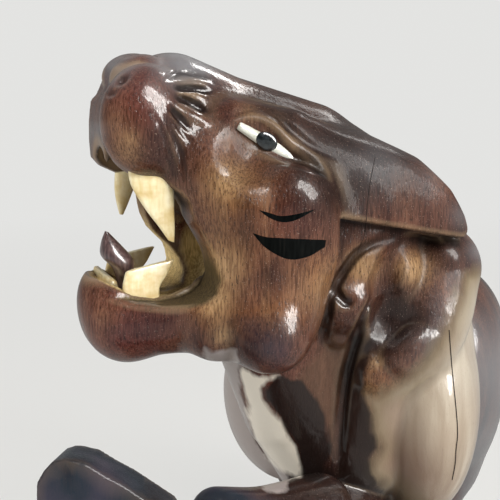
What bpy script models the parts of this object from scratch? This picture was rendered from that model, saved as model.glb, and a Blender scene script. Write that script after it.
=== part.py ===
"""A carved tiger, roaring, on its own low plinth.

The figure is one solid of rosewood, built up like clay: round forms are
blended into one another in a field of distances, others are cut away, and the
field's skin becomes the mesh. Teeth, tongue and eyes are inlays of their own,
each let into a socket that is cut with its own shape and a clearance.

The tiger faces -X and turns its head to its right, towards +Y. The origin is
in the middle of the plinth's underside, +Z is up, and lengths are in metres.
"""

import math

import bpy
import bmesh
import numpy as np

# Driving sizes, in metres
FIGURE_HEIGHT = 0.290        # from the plinth's top to the top of the nose
PLINTH_LENGTH = 0.410
PLINTH_WIDTH = 0.156
PLINTH_HEIGHT = 0.020
PLINTH_CORNER = 0.060        # radius of the plinth's corners, seen from above
PLINTH_ROUNDING = 0.005      # radius along its upper edge
HEAD_FROM_FRONT = 0.1125     # from the plinth's front end to the head's centre
HEAD_FROM_SIDE = 0.080       # from the plinth's left side to the head's centre
CLEARANCE = 0.0003           # between pieces that touch

# The figure's proportions are in modules, of which its height has this many
HEIGHT_IN_MODULES = 290.0
MODULE = FIGURE_HEIGHT / HEIGHT_IN_MODULES
HEAD_HEIGHT = 230.0          # the head's centre above the plinth's top
HEAD_TURN = math.radians(120.0)  # the way the head faces, from +X

# How finely the clay is worked, and how many triangles its skin keeps
CLAY_GRID = 1.6
EMPTY = 30.0                 # the field's value before any clay is on it
FIGURE_TRIANGLES = 7000
HEAD_CARE = 2.5e-5           # how much more costly a triangle is to lose on the head
CARE_CENTRE = (25, 0, 5)     # of the ball that gets this care, in the head's axes
CARE_RADIUS = 62.0
CARE_STEPS = 10
FEET_TOP = 30.0
CORNER_STEPS = 9

WOOD = (0.130, 0.048, 0.030, 1.0)
PLINTH_WOOD = (0.080, 0.032, 0.020, 1.0)
BONE = (0.800, 0.680, 0.440, 1.0)
TONGUE_WOOD = (0.110, 0.070, 0.070, 1.0)
EYE_WHITE = (0.700, 0.680, 0.580, 1.0)
EYE_BLACK = (0.010, 0.012, 0.012, 1.0)


# Distances: each shape is a function of x, y, z with the low and high corner of
# its box, and is negative inside
def turn(pitch=0.0, yaw=0.0, roll=0.0):
    """Axes, as columns, turned about X, then Y, then Z, in degrees."""
    a, b, c = (math.radians(angle) for angle in (roll, pitch, yaw))
    about_x = np.array([[1, 0, 0], [0, math.cos(a), -math.sin(a)], [0, math.sin(a), math.cos(a)]])
    about_y = np.array([[math.cos(b), 0, math.sin(b)], [0, 1, 0], [-math.sin(b), 0, math.cos(b)]])
    about_z = np.array([[math.cos(c), -math.sin(c), 0], [math.sin(c), math.cos(c), 0], [0, 0, 1]])
    return about_z @ about_y @ about_x


def egg(centre, radii, axes=np.eye(3)):
    """An ellipsoid whose radii lie along the columns of axes."""
    centre = np.array(centre, float)
    radii = np.array(radii, float)
    reach = np.sqrt(((axes * radii) ** 2).sum(axis=1))

    def distance(x, y, z):
        x, y, z = x - centre[0], y - centre[1], z - centre[2]
        near = 0
        steep = 0
        for i in range(3):
            along = (axes[0, i] * x + axes[1, i] * y + axes[2, i] * z) / radii[i]
            near = near + along ** 2
            steep = steep + (along / radii[i]) ** 2
        near = np.sqrt(near)
        return near * (near - 1) / np.maximum(np.sqrt(steep), 1e-6)

    return distance, centre - reach, centre + reach


def limb(points, radii):
    """A chain of round cones through the points."""
    points = np.array(points, float)
    radii = np.array(radii, float)

    def distance(x, y, z):
        nearest = None
        for start, end, r0, r1 in zip(points[:-1], points[1:], radii[:-1], radii[1:]):
            way = end - start
            along = (x - start[0]) * way[0] + (y - start[1]) * way[1] + (z - start[2]) * way[2]
            t = np.clip(along / (way @ way), 0, 1)
            off = (x - start[0] - t * way[0]) ** 2 + (y - start[1] - t * way[1]) ** 2
            off = np.sqrt(off + (z - start[2] - t * way[2]) ** 2) - (r0 + t * (r1 - r0))
            nearest = off if nearest is None else np.minimum(nearest, off)
        return nearest

    reach = radii.max()
    return distance, points.min(axis=0) - reach, points.max(axis=0) + reach


def bent_limb(points, radii, steps=9):
    """A limb that follows a smooth curve through the points."""
    knots = np.column_stack([np.array(points, float), radii])
    knots = np.vstack([2 * knots[0] - knots[1], knots, 2 * knots[-1] - knots[-2]])
    way = []
    for before, start, end, after in zip(knots[:-3], knots[1:-2], knots[2:-1], knots[3:]):
        for t in np.linspace(0, 1, steps, endpoint=False):
            bend = (2 * before - 5 * start + 4 * end - after) * t ** 2
            bend = bend + (3 * start - before - 3 * end + after) * t ** 3
            way.append(start + ((end - before) * t + bend) / 2)
    way = np.array(way + [knots[-2]])
    return limb(way[:, :3], way[:, 3])


def block(centre, half, rounding, axes=np.eye(3)):
    """A box with rounded edges."""
    centre = np.array(centre, float)
    half = np.array(half, float)
    reach = (np.abs(axes) * half).sum(axis=1)

    def distance(x, y, z):
        x, y, z = x - centre[0], y - centre[1], z - centre[2]
        outside = 0
        deepest = None
        for i in range(3):
            along = np.abs(axes[0, i] * x + axes[1, i] * y + axes[2, i] * z) - (half[i] - rounding)
            outside = outside + np.maximum(along, 0) ** 2
            deepest = along if deepest is None else np.maximum(deepest, along)
        return np.sqrt(outside) + np.minimum(deepest, 0) - rounding

    return distance, centre - reach, centre + reach


def slab(outline, low, high, rounding=0.0):
    """An outline in X and Z, from low to high in Y."""
    outline = np.array(outline, float)

    def distance(x, y, z):
        nearest = None
        inside = None
        for start, end in zip(outline, np.roll(outline, -1, axis=0)):
            way = end - start
            dx, dz = x - start[0], z - start[1]
            t = np.clip((dx * way[0] + dz * way[1]) / (way @ way), 0, 1)
            off = (dx - way[0] * t) ** 2 + (dz - way[1] * t) ** 2
            nearest = off if nearest is None else np.minimum(nearest, off)
            rise = way[1] if abs(way[1]) > 1e-9 else 1e-9
            crosses = ((start[1] > z) != (end[1] > z)) & (dx < way[0] * dz / rise)
            inside = crosses if inside is None else inside ^ crosses
        side = np.where(inside, -np.sqrt(nearest), np.sqrt(nearest))
        return np.maximum(side, np.maximum(low - y, y - high)) - rounding

    least, most = outline.min(axis=0) - rounding, outline.max(axis=0) + rounding
    return distance, np.array([least[0], low - rounding, least[1]]), np.array([most[0], high + rounding, most[1]])


def common(one, other, blend):
    """What two shapes share."""
    def distance(x, y, z):
        a, b = one[0](x, y, z), other[0](x, y, z)
        return np.maximum(a, b) + np.maximum(blend - np.abs(a - b), 0) ** 2 / (4 * blend)

    return distance, np.maximum(one[1], other[1]), np.minimum(one[2], other[2])


# The head's own axes: forward, to its left, and up
HEAD_AXES = np.array([
    [math.cos(HEAD_TURN), -math.sin(HEAD_TURN), 0],
    [math.sin(HEAD_TURN), math.cos(HEAD_TURN), 0],
    [0, 0, 1],
])
HEAD_CENTRE = np.array([0.0, 0.0, HEAD_HEIGHT])


def from_head(point):
    """A point of the head in the figure's modules."""
    return HEAD_AXES @ np.asarray(point, float) + HEAD_CENTRE


def in_head(shape, mirrored=True):
    """A shape given in the head's axes, on both sides of the head or on one."""
    distance, low, high = shape
    low, high = np.array(low, float), np.array(high, float)
    if mirrored:
        low[1] = -high[1]
    corners = [(x, y, z) for x in (low[0], high[0]) for y in (low[1], high[1]) for z in (low[2], high[2])]
    corners = np.array([from_head(corner) for corner in corners])

    def placed(x, y, z):
        forward = HEAD_AXES[0, 0] * x + HEAD_AXES[1, 0] * y
        left = HEAD_AXES[0, 1] * x + HEAD_AXES[1, 1] * y
        if mirrored:
            left = np.sqrt(left * left + 2.0)
        return distance(forward, left, z - HEAD_HEIGHT + 0 * forward)

    return placed, corners.min(axis=0), corners.max(axis=0)


class Clay:
    """A field of distances on a grid, worked by adding and cutting shapes."""

    def __init__(self, grid):
        self.grid = grid
        self.strokes = []

    def add(self, shape, blend=6.0):
        self.strokes.append((shape, blend, 1))

    def cut(self, shape, blend=2.0):
        self.strokes.append((shape, blend, -1))

    def work(self):
        """Work all the strokes, in their order, on a grid that holds every added shape."""
        room = 3 * self.grid
        self.low = np.min([shape[1] for shape, blend, side in self.strokes if side > 0], axis=0) - room
        high = np.max([shape[2] for shape, blend, side in self.strokes if side > 0], axis=0) + room
        self.count = [int(math.ceil(length / self.grid)) + 1 for length in high - self.low]
        self.field = np.full(self.count, EMPTY, np.float32)
        for (distance, low, high), blend, side in self.strokes:
            margin = blend + 3 * self.grid + 4
            part, x, y, z = self.window(low - margin, high + margin)
            old = self.field[part]
            new = side * distance(x, y, z).astype(np.float32)
            soft = np.maximum(blend - np.abs(old - new), 0) ** 2 / (4 * blend)
            self.field[part] = np.minimum(old, new) - soft if side > 0 else np.maximum(old, new) + soft

    def window(self, low, high):
        """The part of the grid inside a box, with its coordinates."""
        first = [max(0, int(math.floor((a - o) / self.grid))) for a, o in zip(low, self.low)]
        last = [min(n, int(math.ceil((b - o) / self.grid)) + 1) for b, o, n in zip(high, self.low, self.count)]
        part = tuple(slice(a, max(a, b)) for a, b in zip(first, last))
        x, y, z = [(o + self.grid * np.arange(s.start, s.stop)).astype(np.float32) for o, s in zip(self.low, part)]
        return part, x[:, None, None], y[None, :, None], z[None, None, :]

    def part_touching(self):
        """Fill the grid's few checkered squares, where the skin would touch itself."""
        thin = -0.02 * self.grid
        for u, w in ((0, 1), (0, 2), (1, 2)) * 2:
            corner = {}
            for far_u in (0, 1):
                for far_w in (0, 1):
                    cells = [slice(None)] * 3
                    cells[u] = slice(1, None) if far_u else slice(0, -1)
                    cells[w] = slice(1, None) if far_w else slice(0, -1)
                    corner[far_u, far_w] = self.field[tuple(cells)]
            filled = {key: value < 0 for key, value in corner.items()}
            rising = filled[0, 0] & filled[1, 1] & ~filled[0, 1] & ~filled[1, 0]
            falling = filled[0, 1] & filled[1, 0] & ~filled[0, 0] & ~filled[1, 1]
            for key in ((0, 0), (0, 1)):
                corner[key][rising | falling] = np.minimum(corner[key][rising | falling], thin)

    def skin(self):
        """Vertices and four-sided faces where the field crosses zero."""
        self.work()
        self.part_touching()
        inside = self.field < 0
        cells = [n - 1 for n in self.count]
        corners = [(a, b, c) for a in (0, 1) for b in (0, 1) for c in (0, 1)]
        filled = np.zeros(cells, np.uint8)
        for a, b, c in corners:
            filled += inside[a:cells[0] + a, b:cells[1] + b, c:cells[2] + c]
        active = np.argwhere((filled > 0) & (filled < 8))
        number = np.full(cells, -1, np.int64)
        number[tuple(active.T)] = np.arange(len(active))
        value = {corner: self.field[tuple((active + corner).T)].astype(float) for corner in corners}
        total = np.zeros((len(active), 3))
        hits = np.zeros(len(active))
        for corner in corners:
            for axis in range(3):
                if corner[axis]:
                    continue
                other = tuple(1 if i == axis else corner[i] for i in range(3))
                here, there = value[corner], value[other]
                crossed = (here < 0) != (there < 0)
                point = np.tile(np.array(corner, float), (int(crossed.sum()), 1))
                point[:, axis] = here[crossed] / (here[crossed] - there[crossed])
                total[crossed] += point
                hits[crossed] += 1
        vertices = self.low + self.grid * (active + total / hits[:, None])
        faces = []
        for axis in range(3):
            u, w = (axis + 1) % 3, (axis + 2) % 3
            near = inside[tuple(slice(0, -1) if i == axis else slice(None) for i in range(3))]
            far = inside[tuple(slice(1, None) if i == axis else slice(None) for i in range(3))]
            edge = np.argwhere(near != far)
            edge = edge[(edge[:, u] > 0) & (edge[:, w] > 0)]
            leaves = near[tuple(edge.T)]
            step_u, step_w = np.eye(3, dtype=int)[u], np.eye(3, dtype=int)[w]
            ring = [edge - step_u - step_w, edge - step_w, edge, edge - step_u]
            quads = np.stack([number[tuple(cell.T)] for cell in ring], axis=1)
            quads[~leaves] = quads[~leaves][:, ::-1]
            faces.append(quads)
        return vertices, np.concatenate(faces)


# The head, in its own axes
LIP_OUTLINE = [
    (100, 29), (76, 26), (68, 25), (62, 23.5), (56, 21), (51, 18.5), (48.5, 13), (47.5, 5), (45, -2),
    (43.5, -8), (45.5, -13), (51, -16), (57, -16.5), (64, -15), (72, -11), (79, -8), (100, -5),
]
EAR_OUTLINE = [(-2, 32), (-16, 28.5), (-28, 22), (-37, 13), (-42, 6.5), (-43, 3.5), (-40, 4), (-20, 9), (0, 14)]
EAR_UNDERSIDE = [(3, 10.3), (-70, -5), (-70, -40), (3, -40)]


def eye_hollows(clay):
    """A shallow hollow for each eye, under the brow."""
    hollow = egg(EYE_HOLLOW_PLACE, EYE_HOLLOW_HALF, turn(pitch=EYE_PITCH, yaw=EYE_YAW))
    clay.cut(in_head(hollow), 2)


def skull(clay):
    """Cranium, snout, brows, cheeks and jowls."""
    def form(shape, blend=8.0):
        clay.add(in_head(shape), blend)

    form(egg((-9, 0, 9), (35, 33, 26.5), turn(pitch=-25)))
    form(limb([(0, 0, 25), (30, 0, 35.5), (47, 0, 43)], [20, 18, 18]))
    form(limb([(31, 19, 39), (14, 23, 34), (-6, 26, 24)], [8, 10, 10]), 7)
    form(egg((36, 19, 22), (12, 15, 14)))
    form(egg((16, 27, 15), (17, 18, 17)), 7)
    form(limb([(50, 9, 36), (32, 17, 18)], [13, 17]))
    form(egg((20, 23, 0), (22, 22, 26)), 10)
    form(egg((23, 24, -20), (19.5, 21, 20.5)))
    form(egg((41, 20, -19), (11, 13, 12)), 6)
    form(limb([(4, 24, 4), (-14, 27, 9)], [16, 8]), 6)


def muzzle(clay):
    """Whisker pads, the strip between them, and the nose."""
    for side, forward in ((1, 58.5), (-1, 54.0)):
        clay.add(in_head(egg((forward, side * 13.0, 40.5), (14.5, 13.5, 18)), False), 4)
    clay.add(in_head(block((60, 0, 37.5), (11, 11.5, 13), 4.5), False), 2.5)
    clay.add(in_head(egg((58.5, 5.5, 52.5), (10.5, 8.5, 7.5))), 1.5)
    clay.cut(in_head(limb([(64, 7, 54), (59, 9.5, 54.5)], [1.6, 2.2])), 1.5)


def lower_jaw(clay):
    clay.add(in_head(limb([(28, 20, -22), (50, 14.5, -22.5), (64, 7, -24)], [13, 11.5, 12.5])), 6)
    clay.add(in_head(egg((62, 0, -26.5), (14.5, 14, 13))), 6)
    clay.add(in_head(egg((67, 0, -18.5), (12, 14, 13))), 4)


def ears(clay):
    """Ears laid back along the neck, undercut below."""
    leaf = common(slab(EAR_OUTLINE, 14, 34, 4.5), egg((-22, 12, 7), (43, 31, 29.5), turn(pitch=-25)), 6)
    clay.add(in_head(leaf), 5)
    clay.cut(in_head(slab(EAR_UNDERSIDE, 30, 60)), 1.0)


def mouth(clay):
    """The open mouth, cut through from side to side and down the throat."""
    def hollow(shape, blend=3.0):
        clay.cut(in_head(shape), blend)

    hollow(slab(LIP_OUTLINE, -80, 80), 2)
    hollow(limb([(60, 0, 24), (40, 0, 15)], [12, 14]))
    hollow(limb([(66, 0, -9), (52, 0, -8), (36, 0, -5)], [8.5, 13.5, 14.5]))
    hollow(limb([(48, 0, 0), (24, 0, -2)], [15, 11]))


# The body, from the point on the plinth's top under the head's centre
def below_head(x, y, drop):
    """A point of the neck, so far below the head's centre."""
    return x, y, HEAD_HEIGHT - drop


def neck_and_shoulders(clay):
    clay.add(limb([below_head(6, -10, 0), below_head(18, -27, 40), (14, -19, 153)], [32, 34, 27]), 1.5)
    clay.add(limb([below_head(-5, 9, 22), (6, 0, 166), (10, -9, 142)], [25, 22, 18]), 5)
    # The lobe behind the jowl, then the fold from nape to breast
    lobe = [below_head(-6, -33, 9), below_head(-13, -19, 21), below_head(-16, -15, 31)]
    clay.add(limb(lobe, [9, 9, 6]), 3)
    fold = [below_head(5, -45, 13), below_head(-3, -43, 33), (-5, -29, 180), (-3, -25, 163)]
    clay.add(limb(fold, [16, 15, 12, 10]), 4)
    clay.add(limb([below_head(20, -18, 18), (62, -15, 188), (110, -15, 168)], [26, 26, 22]), 10)
    # Left shoulder blade, then the right one
    clay.add(egg((24, -45, 180), (34, 19.5, 50), turn(yaw=10)), 5)
    clay.add(egg((36, 3, 160), (30, 27, 35), turn(yaw=10)), 3)


def trunk(clay):
    clay.add(egg((95, -15, 143), (72, 37, 45)), 12)
    clay.add(egg((160, -15, 146), (70, 32, 35)), 12)
    clay.add(egg((222, -15, 147), (38, 36, 36)), 12)


def paw(clay, middle, axes, size=1.0, toes=4):
    """A paw: the first of its axes points back, the second across, the third up."""
    ahead, aside, up = -axes[:, 0] * size, axes[:, 1] * size, axes[:, 2] * size
    middle = np.array(middle, float)
    clay.add(egg(middle + up * 8, np.array([17, 14.5, 12]) * size, axes), 6 * size)
    for i in range(toes):
        across = (i - (toes - 1) / 2) * 7.6
        forward = 13 - abs(across) * 0.22
        tip = middle + ahead * forward + aside * across + up * 6.5
        clay.add(limb([tip - ahead * 10 + up, tip], [6.6 * size, 5.4 * size]), 0.8)


def standing_legs(clay):
    """Left foreleg and both hind legs, each down to its paw."""
    level = turn()
    clay.add(bent_limb([(25, -44, 155), (20, -41, 112), (30, -38, 62), (26, -38, 14)], [22, 16, 12, 12.5]), 8)
    paw(clay, (16, -38, 0), level)
    for x, y, side, thigh in ((0, -42, -1, -50), (-22, 16, 1, 12)):
        clay.add(egg((213, thigh, 119), (39, 24, 44)), 8)
        hock = [(222, y, 140), (208 + x, y + side * 5, 98), (236 + x, y, 58), (235 + x, y, 36), (229 + x, y, 14)]
        clay.add(bent_limb(hock, [30, 19, 13, 11, 12.5]), 8)
        paw(clay, (220 + x, y, 0), level)


def raised_leg(clay):
    """The right foreleg, lifted and stretched forward, its paw open."""
    clay.add(bent_limb([(29, -15, 134), (-2, -14, 124), (-26, -4, 121), (-46, 8, 130)], [18, 19, 18.5, 15]), 2)
    clay.add(bent_limb([(-47, 10, 130), (-62, 24, 139), (-75, 40, 151)], [14, 13, 12.5]), 1.5)
    paw(clay, (-80, 50, 150), turn(yaw=-38, pitch=30), size=1.25)


def tail(clay):
    """The tail, hanging down behind and curling along the plinth."""
    way = [(250, -15, 152), (271, -12, 128), (279, -5, 80), (277, 12, 32), (262, 34, 11), (236, 44, 8)]
    clay.add(bent_limb(way, [13, 10, 8.5, 8.5, 8.5, 7]), 6)


def level_feet(clay):
    """Paws and tail end flat, just above the plinth."""
    ground = CLEARANCE / MODULE
    below = block((95, 0, ground - 20), (250, 150, 20), 0)
    clay.cut(below, 0.01)


def sculpt(grid):
    """The whole figure in clay."""
    clay = Clay(grid)
    skull(clay)
    muzzle(clay)
    lower_jaw(clay)
    ears(clay)
    mouth(clay)
    eye_hollows(clay)
    neck_and_shoulders(clay)
    trunk(clay)
    standing_legs(clay)
    raised_leg(clay)
    tail(clay)
    level_feet(clay)
    return clay


# Inlays, in the head's axes. Each is a run of rings: centre, half one way, half the other
INLAY_SIDES = 12


def ring_run(rings, grow=0.0, power=1.0, sides=INLAY_SIDES):
    """Points and faces of a run of rings, closed at both ends; a low power squares them."""
    rings = [[np.array(v, float) for v in ring] for ring in rings]
    for end, beside in ((0, 1), (-1, -2)):
        outward = rings[end][0] - rings[beside][0]
        rings[end][0] = rings[end][0] + outward / np.linalg.norm(outward) * grow
    points = []
    for centre, wide, deep in rings:
        wide = wide * (1 + grow / np.linalg.norm(wide))
        deep = deep * (1 + grow / np.linalg.norm(deep))
        for k in range(sides):
            angle = 2 * math.pi * (k + 0.5) / sides
            across = math.copysign(abs(math.cos(angle)) ** power, math.cos(angle))
            through = math.copysign(abs(math.sin(angle)) ** power, math.sin(angle))
            points.append(from_head(centre + wide * across + deep * through))
    faces = []
    for start in range(0, (len(rings) - 1) * sides, sides):
        for k in range(sides):
            after = (k + 1) % sides
            faces.append((start + k, start + after, start + sides + after, start + sides + k))
    top = (len(rings) - 1) * sides
    faces.append(tuple(range(sides)))
    faces.append(tuple(range(top, top + sides)))
    return points, faces


def upper_left_fang(grow):
    """A broad flat blade, its rear edge upright."""
    return ring_run([
        ((58.2, 16.3, 27.0), (7.0, -1.5, 1.7), (0.4, 1.7, 0)),
        ((57.6, 16.8, 19.4), (6.7, -1.5, 1.7), (0.4, 1.7, 0)),
        ((55.6, 17.2, 12.8), (4.7, -0.9, 0.8), (0.2, 1.5, 0)),
        ((53.4, 17.6, 7.0), (2.6, -0.4, 0.5), (0.1, 1.2, 0)),
        ((52.0, 17.8, 2.6), (1.2, -0.1, 0.5), (0, 0.7, 0)),
    ], grow)


def upper_right_fang(grow):
    """A narrow tusk, curved a little forward."""
    return ring_run([
        ((57.6, -16.0, 27.0), (3.6, 0, 0.6), (0, 2.6, 0)),
        ((57.8, -16.0, 20.5), (4.0, 0, 0.9), (0, 2.7, 0)),
        ((59.0, -16.0, 14.6), (3.1, 0, 0.6), (0, 2.2, 0)),
        ((59.6, -16.0, 10.0), (1.9, 0, 0.3), (0, 1.5, 0)),
        ((59.9, -16.0, 6.6), (0.8, 0, 0.1), (0, 0.7, 0)),
    ], grow)


def lower_fang(side, grow):
    """A wedge of a plate, its point swept back."""
    return ring_run([
        ((60.8, side * 12.6, -21.0), (6.2, 0, 0), (0, 1.7, 0)),
        ((60.8, side * 12.6, -13.6), (6.1, 0, 0), (0, 1.7, 0)),
        ((59.2, side * 12.4, -9.8), (7.1, 0, -0.2), (0, 1.5, 0)),
        ((57.6, side * 12.2, -6.4), (8.1, 0, -1.5), (0, 1.2, 0)),
    ], grow, power=0.6)


def front_tooth(grow):
    """A bar across the jaw, behind its rim."""
    return ring_run([
        ((70.6, -9.2, -14.0), (0, 0, 4.4), (1.2, 0.3, 0)),
        ((69.4, -2.6, -14.9), (0, 0, 4.3), (1.2, 0.3, 0)),
        ((67.6, 3.9, -16.2), (0, 0, 4.0), (1.2, 0.3, 0)),
    ], grow, power=0.6)


def tongue(grow):
    """A leaf on a stem, its tip turned up."""
    return ring_run([
        ((63.6, 0.5, -23.0), (0, 2.4, 0), (2.0, 0, 0)),
        ((63.8, 0.5, -13.5), (0, 2.6, 0), (2.2, 0, 0)),
        ((64.0, 0.5, -9.4), (0, 5.6, 0), (3.4, 0, 0.8)),
        ((65.6, 0.5, -5.2), (0, 6.9, 0), (5.4, 0, 0.9)),
        ((67.2, 0.5, -0.8), (0, 4.6, 0), (3.6, 0, 0.9)),
        ((68.8, 0.5, 3.4), (0, 0.9, 0), (0.8, 0, 0.3)),
    ], grow)


EYE_PLACE = (23.4, 29.5, 33.6)
EYE_PITCH, EYE_YAW = -28.0, -12.6
EYE_HALF = (11.4, 3.0, 2.5)      # along the slit, into the head, across the slit
EYE_HOLLOW_PLACE = (24, 37.6, 34)
EYE_HOLLOW_HALF = (15, 6.4, 5.6)
PUPIL_HALF = (3.1, 2.7)
PUPIL_FORWARD = 1.8              # from the middle of the slit towards the nose


def eye_axes(side):
    """The slit's way forward, the way out of the head, and across the slit."""
    along, out, across = turn(pitch=EYE_PITCH, yaw=EYE_YAW).T
    mirror = np.array([1, side, 1])
    return np.array(EYE_PLACE) * mirror, along * mirror, out * mirror, across * mirror


def eye_white(side, grow):
    """An almond lens."""
    place, along, out, across = eye_axes(side)
    rings = []
    for t in (-0.97, -0.8, -0.45, 0.0, 0.45, 0.8, 0.97):
        round_off = math.sqrt(1 - t * t)
        half = EYE_HALF[2] * round_off ** 1.3
        rings.append((place + along * EYE_HALF[0] * t, across * half, out * EYE_HALF[1] * round_off ** 0.7))
    return ring_run(rings, grow, sides=10)


def pupil(side, grow):
    """A domed button, set in the white and a little taller than it."""
    place, along, out, across = eye_axes(side)
    rings = []
    for height, share in ((1.0, 1.0), (2.6, 1.0), (3.4, 0.8), (3.8, 0.35)):
        middle = place + along * PUPIL_FORWARD + out * height
        rings.append((middle, along * PUPIL_HALF[0] * share, across * PUPIL_HALF[1] * share))
    return ring_run(rings, grow)


FINISHES = {
    "Bone": BONE,
    "Tongue wood": TONGUE_WOOD,
    "Eye white": EYE_WHITE,
    "Eye black": EYE_BLACK,
}
INLAYS = {
    "upper_fang_left": (upper_left_fang, "Bone"),
    "upper_fang_right": (upper_right_fang, "Bone"),
    "lower_fang_left": (lambda grow: lower_fang(1, grow), "Bone"),
    "lower_fang_right": (lambda grow: lower_fang(-1, grow), "Bone"),
    "lower_front_tooth": (front_tooth, "Bone"),
    "tongue": (tongue, "Tongue wood"),
    "eye_white_left": (lambda grow: eye_white(1, grow), "Eye white"),
    "eye_white_right": (lambda grow: eye_white(-1, grow), "Eye white"),
    "pupil_left": (lambda grow: pupil(1, grow), "Eye black"),
    "pupil_right": (lambda grow: pupil(-1, grow), "Eye black"),
}


# Blender objects
def to_metres(point):
    """A point in the figure's modules, in the part's own frame."""
    x, y, z = (float(value) * MODULE for value in point)
    return (
        x + HEAD_FROM_FRONT - PLINTH_LENGTH / 2,
        y + HEAD_FROM_SIDE - PLINTH_WIDTH / 2,
        z + PLINTH_HEIGHT,
    )


def material(name, colour, roughness):
    """A Principled material of one colour."""
    made = bpy.data.materials.new(name)
    made.use_nodes = True
    shader = made.node_tree.nodes["Principled BSDF"]
    shader.inputs["Base Color"].default_value = colour
    shader.inputs["Roughness"].default_value = roughness
    shader.inputs["Metallic"].default_value = 0.0
    return made


def make_object(name, points, faces, finish):
    """A mesh object with its faces pointing outwards."""
    mesh = bpy.data.meshes.new(name)
    mesh.from_pydata(points, [], faces)
    work = bmesh.new()
    work.from_mesh(mesh)
    bmesh.ops.recalc_face_normals(work, faces=work.faces)
    work.to_mesh(mesh)
    work.free()
    mesh.shade_smooth()
    mesh.set_sharp_from_angle(angle=math.radians(40))
    thing = bpy.data.objects.new(name, mesh)
    bpy.context.scene.collection.objects.link(thing)
    if finish is not None:
        mesh.materials.append(finish)
    return thing


def make_cutter(name, shape):
    """An inlay's own shape, grown by the clearance, to cut its socket."""
    points, faces = shape(CLEARANCE / MODULE)
    cutter = make_object("cutter_" + name, [to_metres(p) for p in points], faces, None)
    cutter.hide_render = True
    cutter.display_type = "WIRE"
    return cutter


def cut_with(thing, cutter):
    """Leave the cutter's shape out of a piece."""
    socket = thing.modifiers.new("Socket " + cutter.name, "BOOLEAN")
    socket.operation = "DIFFERENCE"
    socket.solver = "EXACT"
    socket.object = cutter


def make_figure(cutters):
    """The tiger, with its skin thinned and its sockets cut."""
    points, faces = sculpt(CLAY_GRID).skin()
    figure = make_object("tiger", [to_metres(p) for p in points], faces.tolist(), material("Rosewood", WOOD, 0.3))
    body = figure.vertex_groups.new(name="Body")
    step = 1 / CARE_STEPS
    from_centre = np.linalg.norm(points - from_head(CARE_CENTRE), axis=1) / CARE_RADIUS
    feet = np.clip((FEET_TOP - points[:, 2]) / 10, 0, 1)
    weight = np.clip(from_centre - 1, 0, 1 - step) * (1 - 0.6 * feet) + step
    for level in np.linspace(step, 1, CARE_STEPS):
        chosen = np.nonzero(np.abs(weight - level) <= step / 2)[0]
        body.add(chosen.tolist(), float(level), "REPLACE")
    thin = figure.modifiers.new("Thin", "DECIMATE")
    thin.ratio = FIGURE_TRIANGLES / (2 * len(faces))
    thin.vertex_group = "Body"
    thin.vertex_group_factor = HEAD_CARE
    for cutter in cutters:
        cut_with(figure, cutter)
    return figure


def make_plinth():
    """A low slab with round corners and an eased upper edge."""
    eased = math.radians(45)
    levels = (
        (0.0, 0.0),
        (0.0, PLINTH_HEIGHT - PLINTH_ROUNDING),
        (PLINTH_ROUNDING * (1 - math.cos(eased)), PLINTH_HEIGHT - PLINTH_ROUNDING * (1 - math.sin(eased))),
        (PLINTH_ROUNDING, PLINTH_HEIGHT),
    )
    points = []
    for inset, height in levels:
        for corner in range(4):
            right = 1 if corner in (0, 3) else -1
            back = 1 if corner in (0, 1) else -1
            centre_x = right * (PLINTH_LENGTH / 2 - PLINTH_CORNER)
            centre_y = back * (PLINTH_WIDTH / 2 - PLINTH_CORNER)
            for step in range(CORNER_STEPS + 1):
                angle = math.pi / 2 * (corner + step / CORNER_STEPS)
                reach = PLINTH_CORNER - inset
                points.append((centre_x + reach * math.cos(angle), centre_y + reach * math.sin(angle), height))
    count = 4 * (CORNER_STEPS + 1)
    faces = [tuple(range(count)), tuple(range(3 * count, 4 * count))]
    for start in range(0, 3 * count, count):
        for k in range(count):
            after = (k + 1) % count
            faces.append((start + k, start + after, start + count + after, start + count + k))
    return make_object("plinth", points, faces, material("Plinth wood", PLINTH_WOOD, 0.35))


def main():
    for old in list(bpy.data.objects):
        bpy.data.objects.remove(old, do_unlink=True)
    made = {}
    cutters = {}
    finishes = {}
    for finish, colour in FINISHES.items():
        finishes[finish] = material(finish, colour, 0.3)
    for name, (shape, finish) in INLAYS.items():
        points, faces = shape(0.0)
        made[name] = make_object(name, [to_metres(p) for p in points], faces, finishes[finish])
        cutters[name] = make_cutter(name, shape)
    for side in ("left", "right"):
        cut_with(made["eye_white_" + side], cutters["pupil_" + side])
    make_figure(cutters.values())
    make_plinth()


if __name__ == "__main__":
    main()
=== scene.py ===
"""The looks of a carved rosewood tiger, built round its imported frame.

The figure is worked again like clay, finer than in the frame: its skin takes the
carver's grooves, folds and lids, and the lacquered wood, its sapwood and its
painted stripes lie on it as the photograph shows. Lengths are in millimetres
until a mesh is made, and the origin is on the plinth's top, under the head.
"""

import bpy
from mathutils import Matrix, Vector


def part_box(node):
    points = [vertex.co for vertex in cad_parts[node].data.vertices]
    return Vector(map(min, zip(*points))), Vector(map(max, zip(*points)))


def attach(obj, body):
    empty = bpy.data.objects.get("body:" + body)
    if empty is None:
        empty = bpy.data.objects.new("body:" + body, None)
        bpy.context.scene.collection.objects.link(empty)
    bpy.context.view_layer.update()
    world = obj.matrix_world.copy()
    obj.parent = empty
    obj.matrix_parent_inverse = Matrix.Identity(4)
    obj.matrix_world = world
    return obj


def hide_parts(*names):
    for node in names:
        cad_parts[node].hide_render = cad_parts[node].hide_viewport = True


bl_info = {
    "name": "Carved Tiger",
    "version": (1, 0, 0),
    "blender": (4, 5, 0),
    "location": "3D View > Sidebar > Tiger",
    "description": "Carves, inlays and stands a rosewood tiger on its plinth",
    "category": "Object",
}

import math

import bmesh
import bpy
import numpy as np
from mathutils import Quaternion, Vector

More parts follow.
